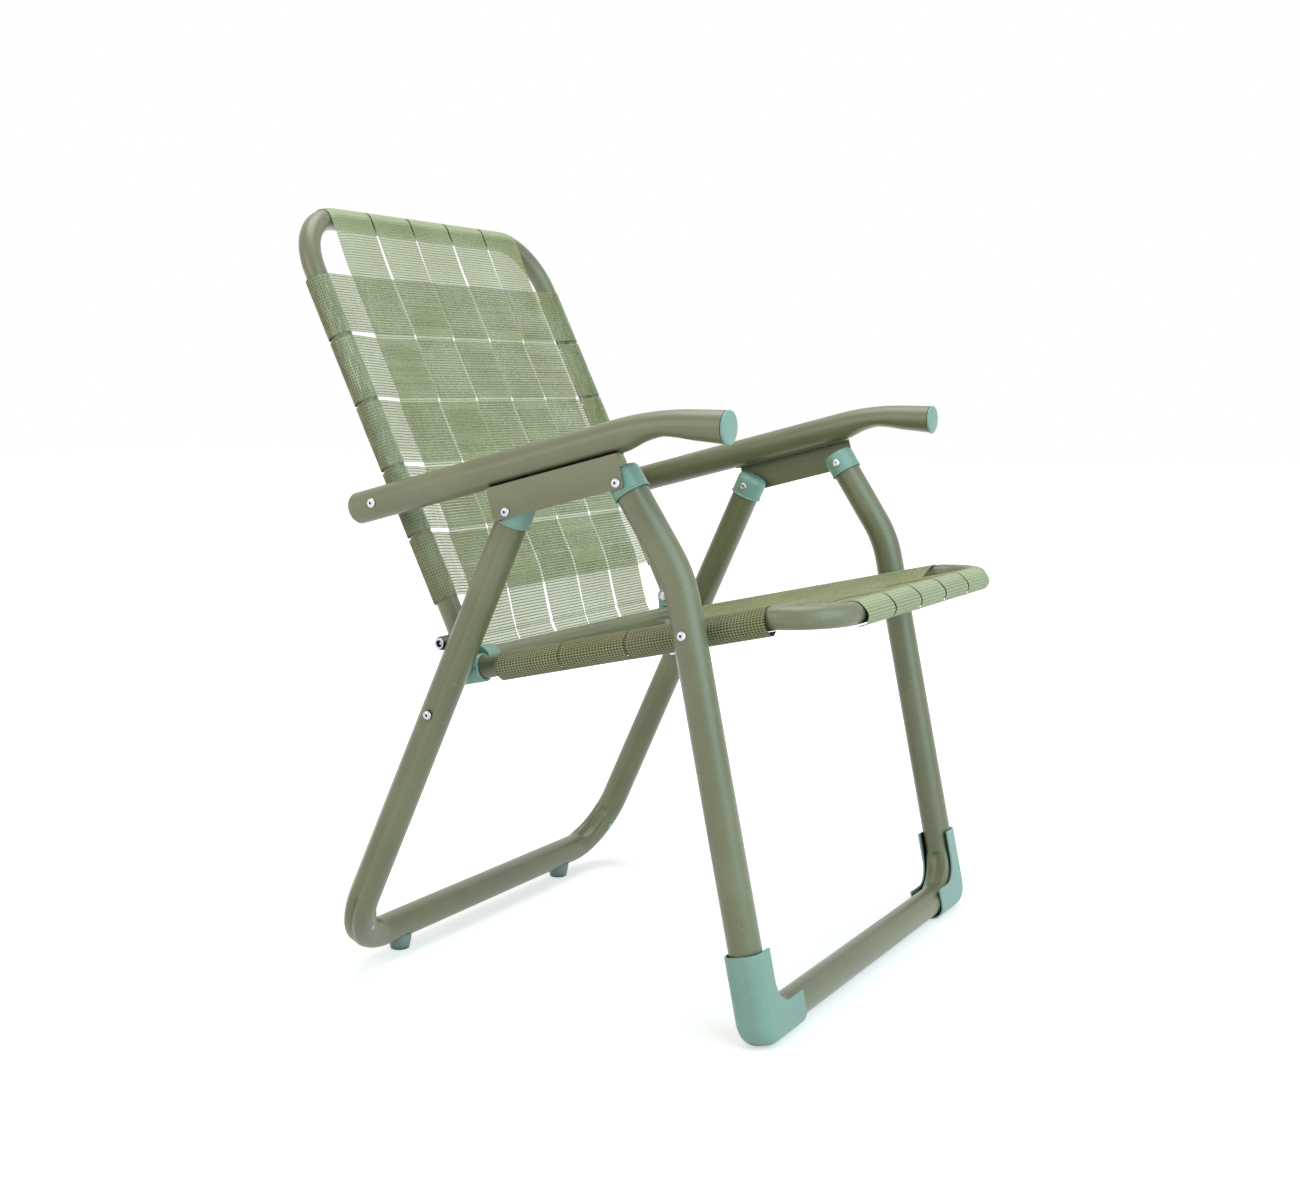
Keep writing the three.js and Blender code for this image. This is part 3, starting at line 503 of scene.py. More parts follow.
front_bm = bmesh.new()
front_rims = bent_tube(
    front_bm,
    both_sides([front_top, knee_point, front_rail], leg_half_width),
    [knee, front_corner, front_corner, knee],
    leg_radius,
    leg_sides,
    step=3,
)
rear_bm = bmesh.new()
rear_rims = bent_tube(
    rear_bm,
    both_sides([rear_top, rear_rail], leg_half_width),
    [rear_corner, rear_corner],
    leg_radius,
    leg_sides,
    step=3,
)
for bm, rims in ((front_bm, front_rims), (rear_bm, rear_rims)):
    for rim in rims:
        close_end(bm, rim)
for side in (1, -1):
    sideways = Vector((side * leg_half_width, 0, 0))
    inwards = Vector((-side, 0, 0))
    front_turn = (front_bm, front_rail + sideways, -down_front, inwards, front_corner)
    rear_turn = (rear_bm, rear_rail + sideways, -down_rear, inwards, rear_corner)
    press_groove(*front_turn, depth=4.6, start=-38, end=38)
    press_groove(*rear_turn, depth=4.2, start=-30, end=34)
    press_groove(*rear_turn, depth=3.6, start=-57, end=16, half=19, inside=-1)
settle(front_bm, "front_leg_tube", "front_legs", lacquer, ["front_leg_frame"], sharp=50)
settle(rear_bm, "rear_leg_tube", "rear_legs", lacquer, ["rear_leg_frame"], sharp=50)

# Arms: 31 mm tube, straight from the rear and bent level at the hand end.
# The rear end is spun over into a low dome, and the front end is cut square for its plug.
# The nose is pinched a little from below.
arm_radius = 15.5
arm_half_width = 262
arm_over = 27
arm_bend_start = 273.5
arm_bend = 290
arm_nose = 32
arm_turn = radians(arm_slope + 1)
on_arm = leaned(arm_slope, arm_pivot)
arm_sides = 40
arm_wall = 1.3
plug_depth = 13
dome_steps = (
    (0.25, 0.975), (0.4, 0.985), (1.5, 0.955), (1.6, 0.91), (1.3, 0.84), (0.8, 0.72), (0.4, 0.5),
)

arm_bend_run = arm_bend * tan(arm_turn / 2)
arm_elbow = Vector((0, -arm_bend_start - arm_bend_run, 0))
arm_nose_way = Vector((0, -cos(arm_turn), -sin(arm_turn)))
arm_tip = arm_elbow + arm_nose_way * (arm_bend_run + arm_nose)
pinch_ahead = 316
pinch_depth = 8
pinch_reach = 34
pinch_start = 24
hands = ((1, "left"), (-1, "right"))


# How far the arm's centre line has fallen at a place ahead of the rivet
def arm_fall(ahead):
    over = min(max(ahead - arm_bend_start, 0), arm_bend * sin(arm_turn))
    past = max(ahead - arm_bend_start - arm_bend * sin(arm_turn), 0)
    return arm_bend - sqrt(arm_bend ** 2 - over ** 2) + past * tan(arm_turn)


for side, hand in hands:
    bm = bmesh.new()
    out = Vector((side * arm_half_width, 0, 0))
    places = [out + Vector((0, arm_over, 0)), out + arm_elbow, out + arm_tip]
    rim, tip_rim = bent_tube(bm, places, [arm_bend], arm_radius, arm_sides, step=1.5)
    for travel, share in dome_steps:
        rim = draw_on(bm, rim, Vector((0, travel, 0)), share)
    close_end(bm, rim)
    for vert in bm.verts:
        along = -vert.co.y - pinch_ahead
        below = min(max(-(vert.co.z + arm_fall(-vert.co.y)) / arm_radius, 0), 1)
        past_bend = eased((-vert.co.y - arm_bend_start) / pinch_start)
        vert.co.z += pinch_depth * below * past_bend * exp(-(abs(along) / pinch_reach) ** 1.5)
    hollow_end(bm, tip_rim, -arm_nose_way, arm_wall, plug_depth)
    settle(bm, f"arm_tube_{hand}", "arms", lacquer, [f"arm_{hand}"], on_arm)

# Arm plugs: round mint plastic buttons pressed into the front ends of the arms.
# The face is slightly domed, with a soft rim as wide as the tube.
plastic = mottled_finish(
    "mint_plastic", "mint_plastic", (126, 158, 144), (136, 170, 157), (152, 182, 170), 0.06,
)


def turned(bm, profile, centre, axis, sides=40):
    axis = axis.normalized()
    square = axis.orthogonal().normalized()
    verts = [bm.verts.new(centre + square * radius + axis * height) for radius, height in profile]
    edges = [bm.edges.new(pair) for pair in zip(verts, verts[1:])]
    bmesh.ops.spin(
        bm, geom=verts + edges, cent=centre, axis=axis, angle=2 * pi, steps=sides, use_merge=True
    )
    bmesh.ops.remove_doubles(bm, verts=bm.verts, dist=0.0005)


button_profile = (
    (0, -12), (9, -12), (9.2, 0.25), (14.9, 0.25), (15.6, 0.8), (15.6, 2.1), (15.1, 3.0), (14.0, 3.5),
    (9, 3.85), (4, 4.0), (0, 4.02),
)
for side, hand in hands:
    bm = bmesh.new()
    turned(bm, button_profile, arm_tip + Vector((side * arm_half_width, 0, 0)), arm_nose_way)
    settle(bm, f"arm_button_{hand}", "arms", plastic, [f"arm_cap_{hand}"], on_arm)

# Leg caps: mint sleeves pushed over the tops of the four legs, with a rolled collar below.
# The top rivet of each leg passes through sleeve and tube.
cap_inner = 15.8
cap_outer = 17.3
cap_profile = (
    (cap_inner, 11.3), (cap_inner, -11.2), (cap_inner + 0.2, -12.0), (17.6, -12.2), (17.9, -11.8),
    (18.0, -11.1), (17.8, -10.5), (cap_outer, -10.1), (cap_outer, 6.2), (16.9, 8.9), (15.7, 11.1),
    (13.6, 12.4), (10.8, 12.8), (0, 12.9),
)
for side, hand in hands:
    for leg, pivot, up in (("front", front_top_pivot, knee_up), ("rear", rear_top_pivot, -down_rear)):
        bm = bmesh.new()
        turned(bm, cap_profile, pivot + Vector((side * leg_half_width, 0, 0)), up)
        close_end(bm, [edge for edge in bm.edges if edge.is_boundary])
        settle(bm, f"{leg}_sleeve_{hand}", f"{leg}_legs", plastic, [f"{leg}_leg_cap_{hand}"])

# Shoes: mint plastic channels round the two front corners, open towards the middle.
# The outer corner is squarer than the tube's bend, and the sole is flat where it stands.
shoe_half = 17.9
shoe_wall = 2.2
shoe_up = 68
shoe_in = 66
shoe_lip = 14
shoe_toe = 25
shoe_crook = 24
shoe_edge = 13
shoe_middle = Vector((-10, 0, 20))
floor_gap = 0.02
on_front_leg = Matrix.Translation(front_rail) @ Matrix.Rotation(-radians(front_lean), 4, "X")


def edge_between(bm, first, second):
    return [
        edge for edge in bm.edges
        if all(any((vert.co - end).length < 0.01 for end in (first, second)) for vert in edge.verts)
    ]


# An outline filled as one face and drawn out to a plate
def plate(bm, corners, travel):
    face = bm.faces.new([bm.verts.new(corner) for corner in corners])
    made = bmesh.ops.extrude_face_region(bm, geom=[face])["geom"]
    bmesh.ops.translate(bm, verts=verts_of(made), vec=travel)


def rounded(bm, geom, radius, segments, affect="EDGES"):
    bmesh.ops.bevel(
        bm, geom=geom, offset=radius, offset_type="OFFSET", affect=affect, segments=segments, profile=0.5,
        material=-1,
    )


# Mirrors a shape to the other side of the chair
def sided(side):
    return Matrix.Scale(side, 4, (1, 0, 0))


# The open faces of the shoe: above the leg, past the rail and along the crook
def in_mouth(face):
    middle = face.calc_center_median()
    in_crook = face.normal.x < 0.02 and face.normal.z > -0.02 and middle.x < 1 - shoe_lip
    at_end = middle.z > shoe_up - 1 or middle.x < 1 - shoe_in
    return abs(face.normal.y) < 0.5 and (at_end or in_crook and middle.z > shoe_lip - 1)


for side, hand in hands:
    bm = bmesh.new()
    outline = [
        (shoe_half, shoe_up), (shoe_half, -shoe_half), (-shoe_in, -shoe_half),
        (-shoe_in, shoe_lip), (-shoe_lip, shoe_lip), (-shoe_lip, shoe_up),
    ]
    plate(bm, [(x, -shoe_half, z) for x, z in outline], (0, 2 * shoe_half, 0))
    for (x, z), radius in ((outline[1], shoe_toe), (outline[4], shoe_crook)):
        corner = edge_between(bm, Vector((x, -shoe_half, z)), Vector((x, shoe_half, z)))
        rounded(bm, corner, radius, 9)
    bm.normal_update()
    bmesh.ops.delete(bm, geom=[face for face in bm.faces if in_mouth(face)], context="FACES")
    keel = [
        edge for edge in bm.edges
        if len(edge.link_faces) == 2
        and abs(edge.link_faces[0].normal.y - edge.link_faces[1].normal.y) > 0.5
    ]
    rounded(bm, keel, shoe_edge, 7)
    bmesh.ops.recalc_face_normals(bm, faces=bm.faces)
    if sum(face.normal.dot(face.calc_center_median() - shoe_middle) for face in bm.faces) < 0:
        bmesh.ops.reverse_faces(bm, faces=bm.faces)
    bmesh.ops.solidify(bm, geom=bm.faces[:], thickness=shoe_wall)
    at_leg = sided(side) @ Matrix.Translation((leg_half_width, 0, 0)) @ on_front_leg
    bmesh.ops.transform(bm, matrix=at_leg, verts=bm.verts)
    sole = bmesh.ops.bisect_plane(
        bm, geom=bm.verts[:] + bm.edges[:] + bm.faces[:], plane_co=(0, 0, floor_gap),
        plane_no=(0, 0, -1), clear_outer=True,
    )["geom_cut"]
    bmesh.ops.holes_fill(bm, edges=edges_of(sole))
    settle(bm, f"shoe_{hand}", "front_legs", plastic, [f"front_shoe_{hand}"], bevel=0.5)

# Rear feet: two turned buttons of a greyer plastic under the rear rail, cupped over the tube.
# Each tapers to a flat sole on the floor.
foot_plastic = mottled_finish(
    "grey_foot_plastic", "mint_plastic", (120, 138, 134), (132, 150, 146), (152, 168, 164), 0.06,
)
foot_reach = 161
foot_profile = (
    (0, 0.05), (8.6, 0.05), (9.6, 0.5), (10.1, 1.4), (12.2, 11), (12.8, 15.6), (12.6, 16.4), (11.6, 16.9),
    (0, 16.9),
)
for side, hand in hands:
    bm = bmesh.new()
    turned(bm, foot_profile, Vector((side * foot_reach, rear_rail.y, 0)), Vector((0, 0, 1)))
    settle(bm, f"foot_button_{hand}", "rear_legs", foot_plastic, [f"rear_foot_{hand}"])

# Rail plugs and discs: a small pale blue plug on the bend at each corner of the rear rail.
# Beside it a flush steel disc has been lacquered over with the tube.
plug_plastic = mottled_finish(
    "pale_blue_plug", "mint_plastic", (150, 178, 186), (166, 192, 198), (180, 200, 204), 0.05,
)
plug_profile = ((0, 13.5), (3.3, 13.5), (3.3, 15.6), (2.9, 16.1), (1.8, 16.4), (0, 16.5))
disc_profile = ((0, 13.5), (4.4, 13.5), (4.4, 15.2), (3.9, 15.5), (2.9, 15.3), (1.6, 15.5), (0, 15.6))
for side, hand in hands:
    for part, swing, way, profile, finish in (
        ("rail_plug", 56, Vector((0.12, -0.93, -0.34)), plug_profile, plug_plastic),
        ("rail_disc", 34, Vector((0.36, -0.92, 0.15)), disc_profile, lacquer),
    ):
        reach = leg_half_width - rear_corner + rear_corner * sin(radians(swing))
        middle = rear_rail - down_rear * (rear_corner * (1 - cos(radians(swing))))
        outward = Vector((-side * way.x, way.y, way.z)).normalized()
        bm = bmesh.new()
        turned(bm, profile, Vector((side * reach, middle.y, middle.z)), outward, 24)
        settle(bm, f"{part}_{hand}", "rear_legs", finish, [])

# Brackets: lacquered steel angle strips under the arms, screwed up into the tube.
# The upright side stands outside the leg caps and carries both leg rivets.
bracket_thickness = 1.6
bracket_depth = 32
bracket_front = front_pivot_ahead + 7
bracket_rear = rear_pivot_ahead - 15
bracket_face = leg_half_width + cap_outer + 0.8
bracket_outer = bracket_face + bracket_thickness
bracket_top = -arm_radius + 0.6
bracket_flange = 14
bracket_fold = 1.1
bracket_tip = 3

for side, hand in hands:
    bm = bmesh.new()
    corners = [
        (bracket_outer - bracket_flange, bracket_top),
        (bracket_outer, bracket_top),
        (bracket_outer, bracket_top - bracket_depth),
    ]
    verts = [bm.verts.new((x, -bracket_front, z)) for x, z in corners]
    edges = [bm.edges.new(pair) for pair in zip(verts, verts[1:])]
    made = bmesh.ops.extrude_edge_only(bm, edges=edges)["geom"]
    bmesh.ops.translate(bm, verts=verts_of(made), vec=(0, bracket_front - bracket_rear, 0))
    fold = edge_between(
        bm,
        Vector((bracket_outer, -bracket_front, bracket_top)),
        Vector((bracket_outer, -bracket_rear, bracket_top)),
    )
    rounded(bm, fold, bracket_fold, 3)
    tips = [vert for vert in bm.verts if abs(vert.co.z - bracket_top + bracket_depth) < 0.01]
    rounded(bm, tips, bracket_tip, 4, affect="VERTICES")
    bmesh.ops.recalc_face_normals(bm, faces=bm.faces)
    if sum(face.normal.x for face in bm.faces) < 0:
        bmesh.ops.reverse_faces(bm, faces=bm.faces)
    bmesh.ops.solidify(bm, geom=bm.faces[:], thickness=bracket_thickness)
    settle(bm, f"bracket_{hand}", "arms", lacquer, [f"arm_bracket_{hand}"], on_arm @ sided(side), bevel=0.3)

# Plastic corners: a moulded sleeve round the end of the seat tube, a socket for the cross tube,
# and two ears that hold the end of the back tube between them on the hinge pin.
ear_radius = 9.5
ear_foot = (-20, 13)
ear_sweep = [radians(15 * step) for step in range(1, 9)]
inner_ear = (203.6, 208.6)
outer_ear = (231.4, 234.4)
corner_outer = 13.9
corner_inner = 11.3
ear_shoulder = 0.7

for side, hand in hands:
    bm = bmesh.new()
    for low, high in (inner_ear, outer_ear):
        outline = [(y, -seat_drop) for y in ear_foot] + [(ear_radius, 0)]
        outline += [(ear_radius * cos(angle), ear_radius * sin(angle)) for angle in ear_sweep]
        outline += [(-ear_radius * 0.9, 2), (-cross_ahead - corner_outer * ear_shoulder, -cross_drop)]
        plate(bm, [(low, y, z) for y, z in outline], (high - low, 0, 0))
    sleeve_centre = Vector((frame_half_width, 0, -seat_drop))
    sleeve_profile = (
        (corner_inner, 20), (corner_outer - 0.4, 20), (corner_outer, 19.4), (corner_outer, -12.4),
        (corner_outer - 0.6, -13), (0, -13), (0, -9.6), (corner_inner, -9.6), (corner_inner, 20),
    )
    turned(bm, sleeve_profile, sleeve_centre, Vector((0, -1, 0)))
    socket_centre = Vector((inner_ear[0], -cross_ahead, -cross_drop))
    socket_profile = (
        (0, 0), (corner_inner, 0), (corner_inner, 17), (corner_outer - 0.4, 17), (corner_outer, 16.4),
        (corner_outer, -4.9), (0, -4.9),
    )
    turned(bm, socket_profile, socket_centre, Vector((-1, 0, 0)))
    bmesh.ops.transform(bm, matrix=sided(side), verts=bm.verts)
    settle(bm, f"plastic_corner_{hand}", "seat", plastic, [f"corner_connector_{hand}"], on_seat, bevel=0.3)

# Bushes: short mint plastic tubes on the arm rivets and seat rivets.
# They keep the tubes that cross there apart.
bodies = frame["record"]["behaviour"]["bodies"]
bush_bore = 3
bush_radius = 7
bush_round = 0.4
bush_face = bush_radius - bush_round
bush_play = 0.3
bush_near = frame_half_width + frame_radius + bush_play


def body_of(node):
    return next(name for name, members in bodies.items() if node in members)


for side, hand in hands:
    for part, pivot, tube_side in (
        ("arm", arm_pivot, arm_half_width - arm_radius),
        ("seat", seat_pivot, leg_half_width - leg_radius),
    ):
        near, far = bush_near, tube_side - bush_play
        bm = bmesh.new()
        bush_profile = (
            (bush_bore, near), (bush_face, near), (bush_radius, near + bush_round),
            (bush_radius, far - bush_round), (bush_face, far), (bush_bore, far), (bush_bore, near),
        )
        turned(bm, bush_profile, pivot, Vector((side, 0, 0)), 32)
        node = f"{part}_bush_{hand}"
        settle(bm, f"{part}_spacer_{hand}", body_of(node), plastic, [node])

# Rivets: bright tubular steel rivets with a low dome outside and a smaller one inside.
# The dome is slightly dimpled where the setting tool pressed it.
steel = mottled_finish(
    "bright_steel", "bright_steel", (178, 180, 184), (222, 224, 226), (130, 128, 126), 0.3, metallic=1.0,
)


def rivet_profile(inner, outer, inner_head):
    profile = [(0, inner)]
    if inner_head:
        profile = [
            (0, inner - 0.9), (1.2, inner - 1.0), (1.6, inner - 2.2), (2.4, inner - 2.5), (3.6, inner - 1.9),
            (4.2, inner - 1.2), (4.4, inner - 0.3), (2.7, inner - 0.3),
        ]
    profile += [(2.7, inner), (2.7, outer + 0.3)]
    profile += [
        (4.5, outer + 0.3), (4.65, outer + 0.7), (4.4, outer + 1.25), (3.8, outer + 1.9), (3.0, outer + 2.4),
        (2.1, outer + 2.6), (1.6, outer + 2.5), (1.3, outer + 2.1), (1.1, outer + 0.6), (0, outer + 0.5),
    ]
    return profile


link_down_leg = 219.6
link_pivot = rear_top_pivot + down_rear * link_down_leg
rivets = (
    ("arm_rivet", arm_pivot, frame_half_width - frame_radius, arm_half_width + arm_radius, True),
    ("front_top_rivet", front_top_pivot, leg_half_width - cap_outer, bracket_outer, True),
    ("rear_top_rivet", rear_top_pivot, leg_half_width - cap_outer, bracket_outer, True),
    ("seat_rivet", seat_pivot, frame_half_width - frame_radius, leg_half_width + leg_radius, True),
    ("link_rivet", link_pivot, leg_half_width - leg_radius + 0.3, leg_half_width + leg_radius, False),
)
for side, hand in hands:
    for part, pivot, inner, outer, inner_head in rivets:
        bm = bmesh.new()
        turned(bm, rivet_profile(inner, outer, inner_head), pivot, Vector((side, 0, 0)), 32)
        node = f"{part}_{hand}"
        settle(bm, f"{part}_head_{hand}", body_of(node), steel, [node], sharp=60)

# Hinge pins: hollow steel pins through the corner, the link and a lacquered spacer.
# The open rear leg leans on the spacer, and the pin's rolled end shows beyond it.
pin_end = 257
for side, hand in hands:
    bm = bmesh.new()
    pin_profile = (
        (0, 199.6), (5.0, 199.6), (5.5, 200.1), (5.5, 203.3), (3.7, 203.3), (3.7, pin_end + 0.3),
        (5.2, pin_end + 0.3), (5.5, pin_end + 0.9), (5.4, pin_end + 2.4), (4.9, pin_end + 3.2),
        (4.1, pin_end + 3.4), (3.4, pin_end + 3.0), (3.0, pin_end + 2.0), (2.9, pin_end - 1.5),
        (1.9, pin_end - 1.6), (1.6, pin_end + 0.4), (0, pin_end + 0.8),
    )
    turned(bm, pin_profile, hinge, Vector((side, 0, 0)), 36)
    settle(bm, f"hinge_pin_steel_{hand}", "seat", steel, [f"hinge_pin_{hand}"], sharp=60)
    bm = bmesh.new()
    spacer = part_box(f"stop_spacer_{hand}")
    spacer_radius = (spacer[1].z - spacer[0].z) / 2 * 1000
    spacer_near = min(abs(spacer[0].x), abs(spacer[1].x)) * 1000
    spacer_profile = (
        (4, spacer_near), (spacer_radius - 0.6, spacer_near), (spacer_radius, spacer_near + 0.6),
        (spacer_radius, pin_end - 1), (spacer_radius - 1, pin_end), (4, pin_end), (4, spacer_near),
    )
    turned(bm, spacer_profile, hinge, Vector((side, 0, 0)), 36)
    settle(bm, f"spacer_{hand}", "seat", lacquer, [f"stop_spacer_{hand}"])

# Links: flat steel bars with rounded ends between the hinge pins and the rear legs.
# They hold the open rear legs from spreading.
link_half_width = 7
link_near = 234.8
link_thickness = 2.4
for side, hand in hands:
    bm = bmesh.new()
    reach = link_pivot - hinge
    lean = atan2(reach.z, reach.y)
    outline = []
    for centre, start in ((hinge, pi / 2), (link_pivot, -pi / 2)):
        for step in range(13):
            angle = lean + start + pi * step / 12
            outline.append((centre.y + link_half_width * cos(angle), centre.z + link_half_width * sin(angle)))
    plate(bm, [(link_near, y, z) for y, z in outline], (link_thickness, 0, 0))
    bmesh.ops.transform(bm, matrix=sided(side), verts=bm.verts)
    settle(bm, f"link_bar_{hand}", "links", steel, [f"rear_link_{hand}"], bevel=0.3)

# Webbing: nineteen flat straps of open plastic weave, 64 to 72 mm wide, laced over and under.
# The ribs lie across the chair on every strap, with a row of small holes between them.
# Each strap is wrapped round the tubes at its ends, where it hangs slack underneath.
strap_width = 67.5
strap_thickness = 0.16
weave_lift = 0.55
wrap_radius = 11.7
wrap_step = 7.5
side_sweep = radians(220)
end_sweep = radians(182)
upright_pitch = 70.5
upright_count = 5
upright_places = [(column - (upright_count - 1) / 2) * upright_pitch for column in range(upright_count)]
back_row_edge = 42.7
back_row_pitch = 71.5
back_top_row = 361.25
back_rows = [back_row_edge + strap_width / 2 + back_row_pitch * row for row in range(4)] + [back_top_row]
back_row_widths = [strap_width] * 4 + [64.5]
back_row_tilt = 0.9
seat_row_edge = 44.5
seat_row_pitch = 73
seat_rows = [seat_row_edge + strap_width / 2 + seat_row_pitch * row for row in range(4)]
seat_row_widths = [72.3] * 4
hem_slack = {"seat": 4.6, "back": 1.6, "front": 3.4, "top": 1.2}

weave, weave_in, weave_out = new_group(
    "open_weave",
    [
        ("Along and across", "Vector"), ("Vector", "Vector"), ("Rib pitch", "Float"), ("Yarn pitch", "Float"),
        ("Width", "Float"), ("Tucked", "Float"), ("Lengthwise", "Float"), ("Yarn", "Color"),
        ("Crown", "Color"), ("Pit", "Color"), ("Painted highlight", "Color"), ("Painted shade", "Color"),
    ],
    [("Color", "Color"), ("Alpha", "Float"), ("Height", "Float")],
)


def weave_sum(operation, *values):
    return reckon(weave, operation, *values)


strap_along, strap_over = add_node(weave, "SeparateXYZ", {0: weave_in["Along and across"]}).outputs[:2]
tucked_in = weave_in["Tucked"]
apart = weave_sum("MULTIPLY", weave_sum("SUBTRACT", strap_over, strap_along), weave_in["Lengthwise"])
rib_place = weave_sum("ADD", strap_along, apart)
yarn_place = weave_sum("SUBTRACT", strap_over, apart)
rib_wander = weave_sum("MULTIPLY_ADD", speckled(weave, weave_in["Vector"], 24, 1), 0.0004, rib_place)
rib_count = weave_sum("DIVIDE", rib_wander, weave_in["Rib pitch"])
yarn_count = weave_sum("DIVIDE", yarn_place, weave_in["Yarn pitch"])
rib_wave = weave_sum("COSINE", weave_sum("MULTIPLY", rib_count, 2 * pi))
yarn_wave = weave_sum("COSINE", weave_sum("MULTIPLY", yarn_count, 2 * pi))
between_ribs = spread(weave, rib_wave, 0.72, 0.38)
between_yarns = spread(weave, yarn_wave, 0.45, 0.15)
from_edge = weave_sum("MINIMUM", strap_over, weave_sum("SUBTRACT", weave_in["Width"], strap_over))
inside_edge = spread(weave, from_edge, 0.0002, 0.0008)
row_cover = weave_sum("MULTIPLY_ADD", between_yarns, 0.16, 0.38)
hole = weave_sum("MULTIPLY", weave_sum("MULTIPLY", between_ribs, row_cover), inside_edge)

# Where a strap lies over a tube its holes are closed; its front gets a painted highlight, and its dots and
# its part behind the tube get painted shade
backed = weave_sum("MINIMUM", weave_sum("MULTIPLY", tucked_in, 3.0), 1.0)
seen_through = weave_sum("MULTIPLY", hole, weave_sum("SUBTRACT", 1.0, backed))
weave_fade = spread(weave, speckled(weave, weave_in["Vector"], 14, 2), 0.35, 0.65)
weave_tone = blended(weave, weave_fade, weave_in["Yarn"], weave_in["Crown"])
# Painted highlight: the front of a wrap is given a pale highlight colour
in_front = weave_sum("MULTIPLY", backed, weave_sum("SUBTRACT", 1.0, tucked_in))
highlight_tone = blended(weave, in_front, weave_tone, weave_in["Painted highlight"])
on_rib = weave_sum("MULTIPLY", weave_sum("SUBTRACT", 1.0, between_ribs), 0.55)
unbacked = weave_sum("MULTIPLY_ADD", backed, -0.85, 1.0)
ribbed_tone = blended(weave, weave_sum("MULTIPLY", on_rib, unbacked), highlight_tone, weave_in["Pit"])
# Painted shade: the closed holes over a tube are painted as dark dots, darker the deeper behind the tube, and
# the deepest part is darkened all over
dots = weave_sum("MULTIPLY", between_ribs, weave_sum("MULTIPLY_ADD", between_yarns, 0.75, 0.05))
deep_in = weave_sum("POWER", tucked_in, 2.0)
dot_shade = weave_sum("MULTIPLY", weave_sum("MULTIPLY_ADD", deep_in, 0.4, 0.56), backed)
painted_shade_share = weave_sum("ADD", weave_sum("MULTIPLY", dots, dot_shade), weave_sum("MULTIPLY", deep_in, 0.3))
shaded_tone = blended(weave, painted_shade_share, ribbed_tone, weave_in["Painted shade"])
weave_relief = weave_sum("ADD", weave_sum("MULTIPLY", rib_wave, 0.5), weave_sum("MULTIPLY", yarn_wave, 0.25))
weave_cover = weave_sum("SUBTRACT", 0.94, seen_through)
fill_sockets(weave, weave_out, {"Color": shaded_tone, "Alpha": weave_cover, "Height": weave_relief})


def webbing_cloth(name, lengthwise):
    cloth = bpy.data.materials.new(name)
    cloth.use_nodes = True
    tree = cloth.node_tree
    group = add_node(tree, "Group", {
        "Along and across": add_node(tree, "UVMap", uv_map="lay").outputs["UV"],
        "Vector": add_node(tree, "TexCoord").outputs["Object"],
        "Tucked": add_node(tree, "Attribute", attribute_name="tucked").outputs["Fac"],
        "Rib pitch": 0.0031,
        "Yarn pitch": 0.0026,
        "Width": strap_width * 0.001,
        "Lengthwise": lengthwise,
        "Yarn": screen_color(163, 166, 118),
        "Crown": screen_color(174, 180, 138),
        "Pit": screen_color(132, 136, 94),
        # Painted highlight: the pale colour laid on the front of each wrap
        "Painted highlight": screen_color(206, 212, 174),
        # Painted shade: the dark brown colour of the closed holes and the wrap behind the tube
        "Painted shade": screen_color(62, 48, 12),
    }, node_tree=weave).outputs
    in_shadow = add_node(tree, "LightPath").outputs["Is Shadow Ray"]
    lit = reckon(tree, "MULTIPLY_ADD", in_shadow, -0.55, 1.0)
    relief = add_node(tree, "Bump", {"Strength": 0.4, "Distance": 0.0005, "Height": group["Height"]})
    fill_sockets(tree, tree.nodes["Principled BSDF"], {
        "Base Color": group["Color"],
        "Roughness": 0.62,
        "Alpha": reckon(tree, "MULTIPLY", group["Alpha"], lit),
        "Normal": relief.outputs["Normal"],
    })
    return cloth, "webbing"


webbing = webbing_cloth("sage_webbing", 0)
cross_webbing = webbing_cloth("sage_cross_webbing", 1)


def woven(row, column):
    return weave_lift if (row + column) % 2 == 0 else -weave_lift


# The height of a strap at a place on its way, from the levels at each strap that it crosses
def weave_level(place, places, heights, give=9):
    level = heights[0]
    for index in range(1, len(places)):
        middle = (places[index - 1] + places[index]) / 2
        level += (heights[index] - heights[index - 1]) * eased((place - middle + give) / (2 * give))
    return level


# The angle at which a strap leaves a tube for its first crossing
def leaving(centre, target, turn):
    reach = target - centre
    return atan2(reach.y, reach.x) + turn * acos(wrap_radius / reach.length)


# Points round a tube from a strap's slack end to where it leaves
def wrap_points(centre, target, turn, sweep, slack=0):
    leave = leaving(centre, target, turn)
    points = []
    steps = ceil(degrees(sweep) / wrap_step)
    for step in range(steps + 1):
        back = sweep * (1 - step / steps)
        angle = leave + turn * back
        hang = slack * eased((degrees(back) - 60) / 60) * (0.25 + 0.75 * eased(degrees(sweep - back) / 45))
        points.append(centre + Vector((cos(angle), sin(angle))) * (wrap_radius + hang))
    return points


def evenly(start, end, pitch=3.5):
    steps = max(1, ceil(abs(end - start) / pitch))
    return [start + (end - start) * step / steps for step in range(1, steps + 1)]


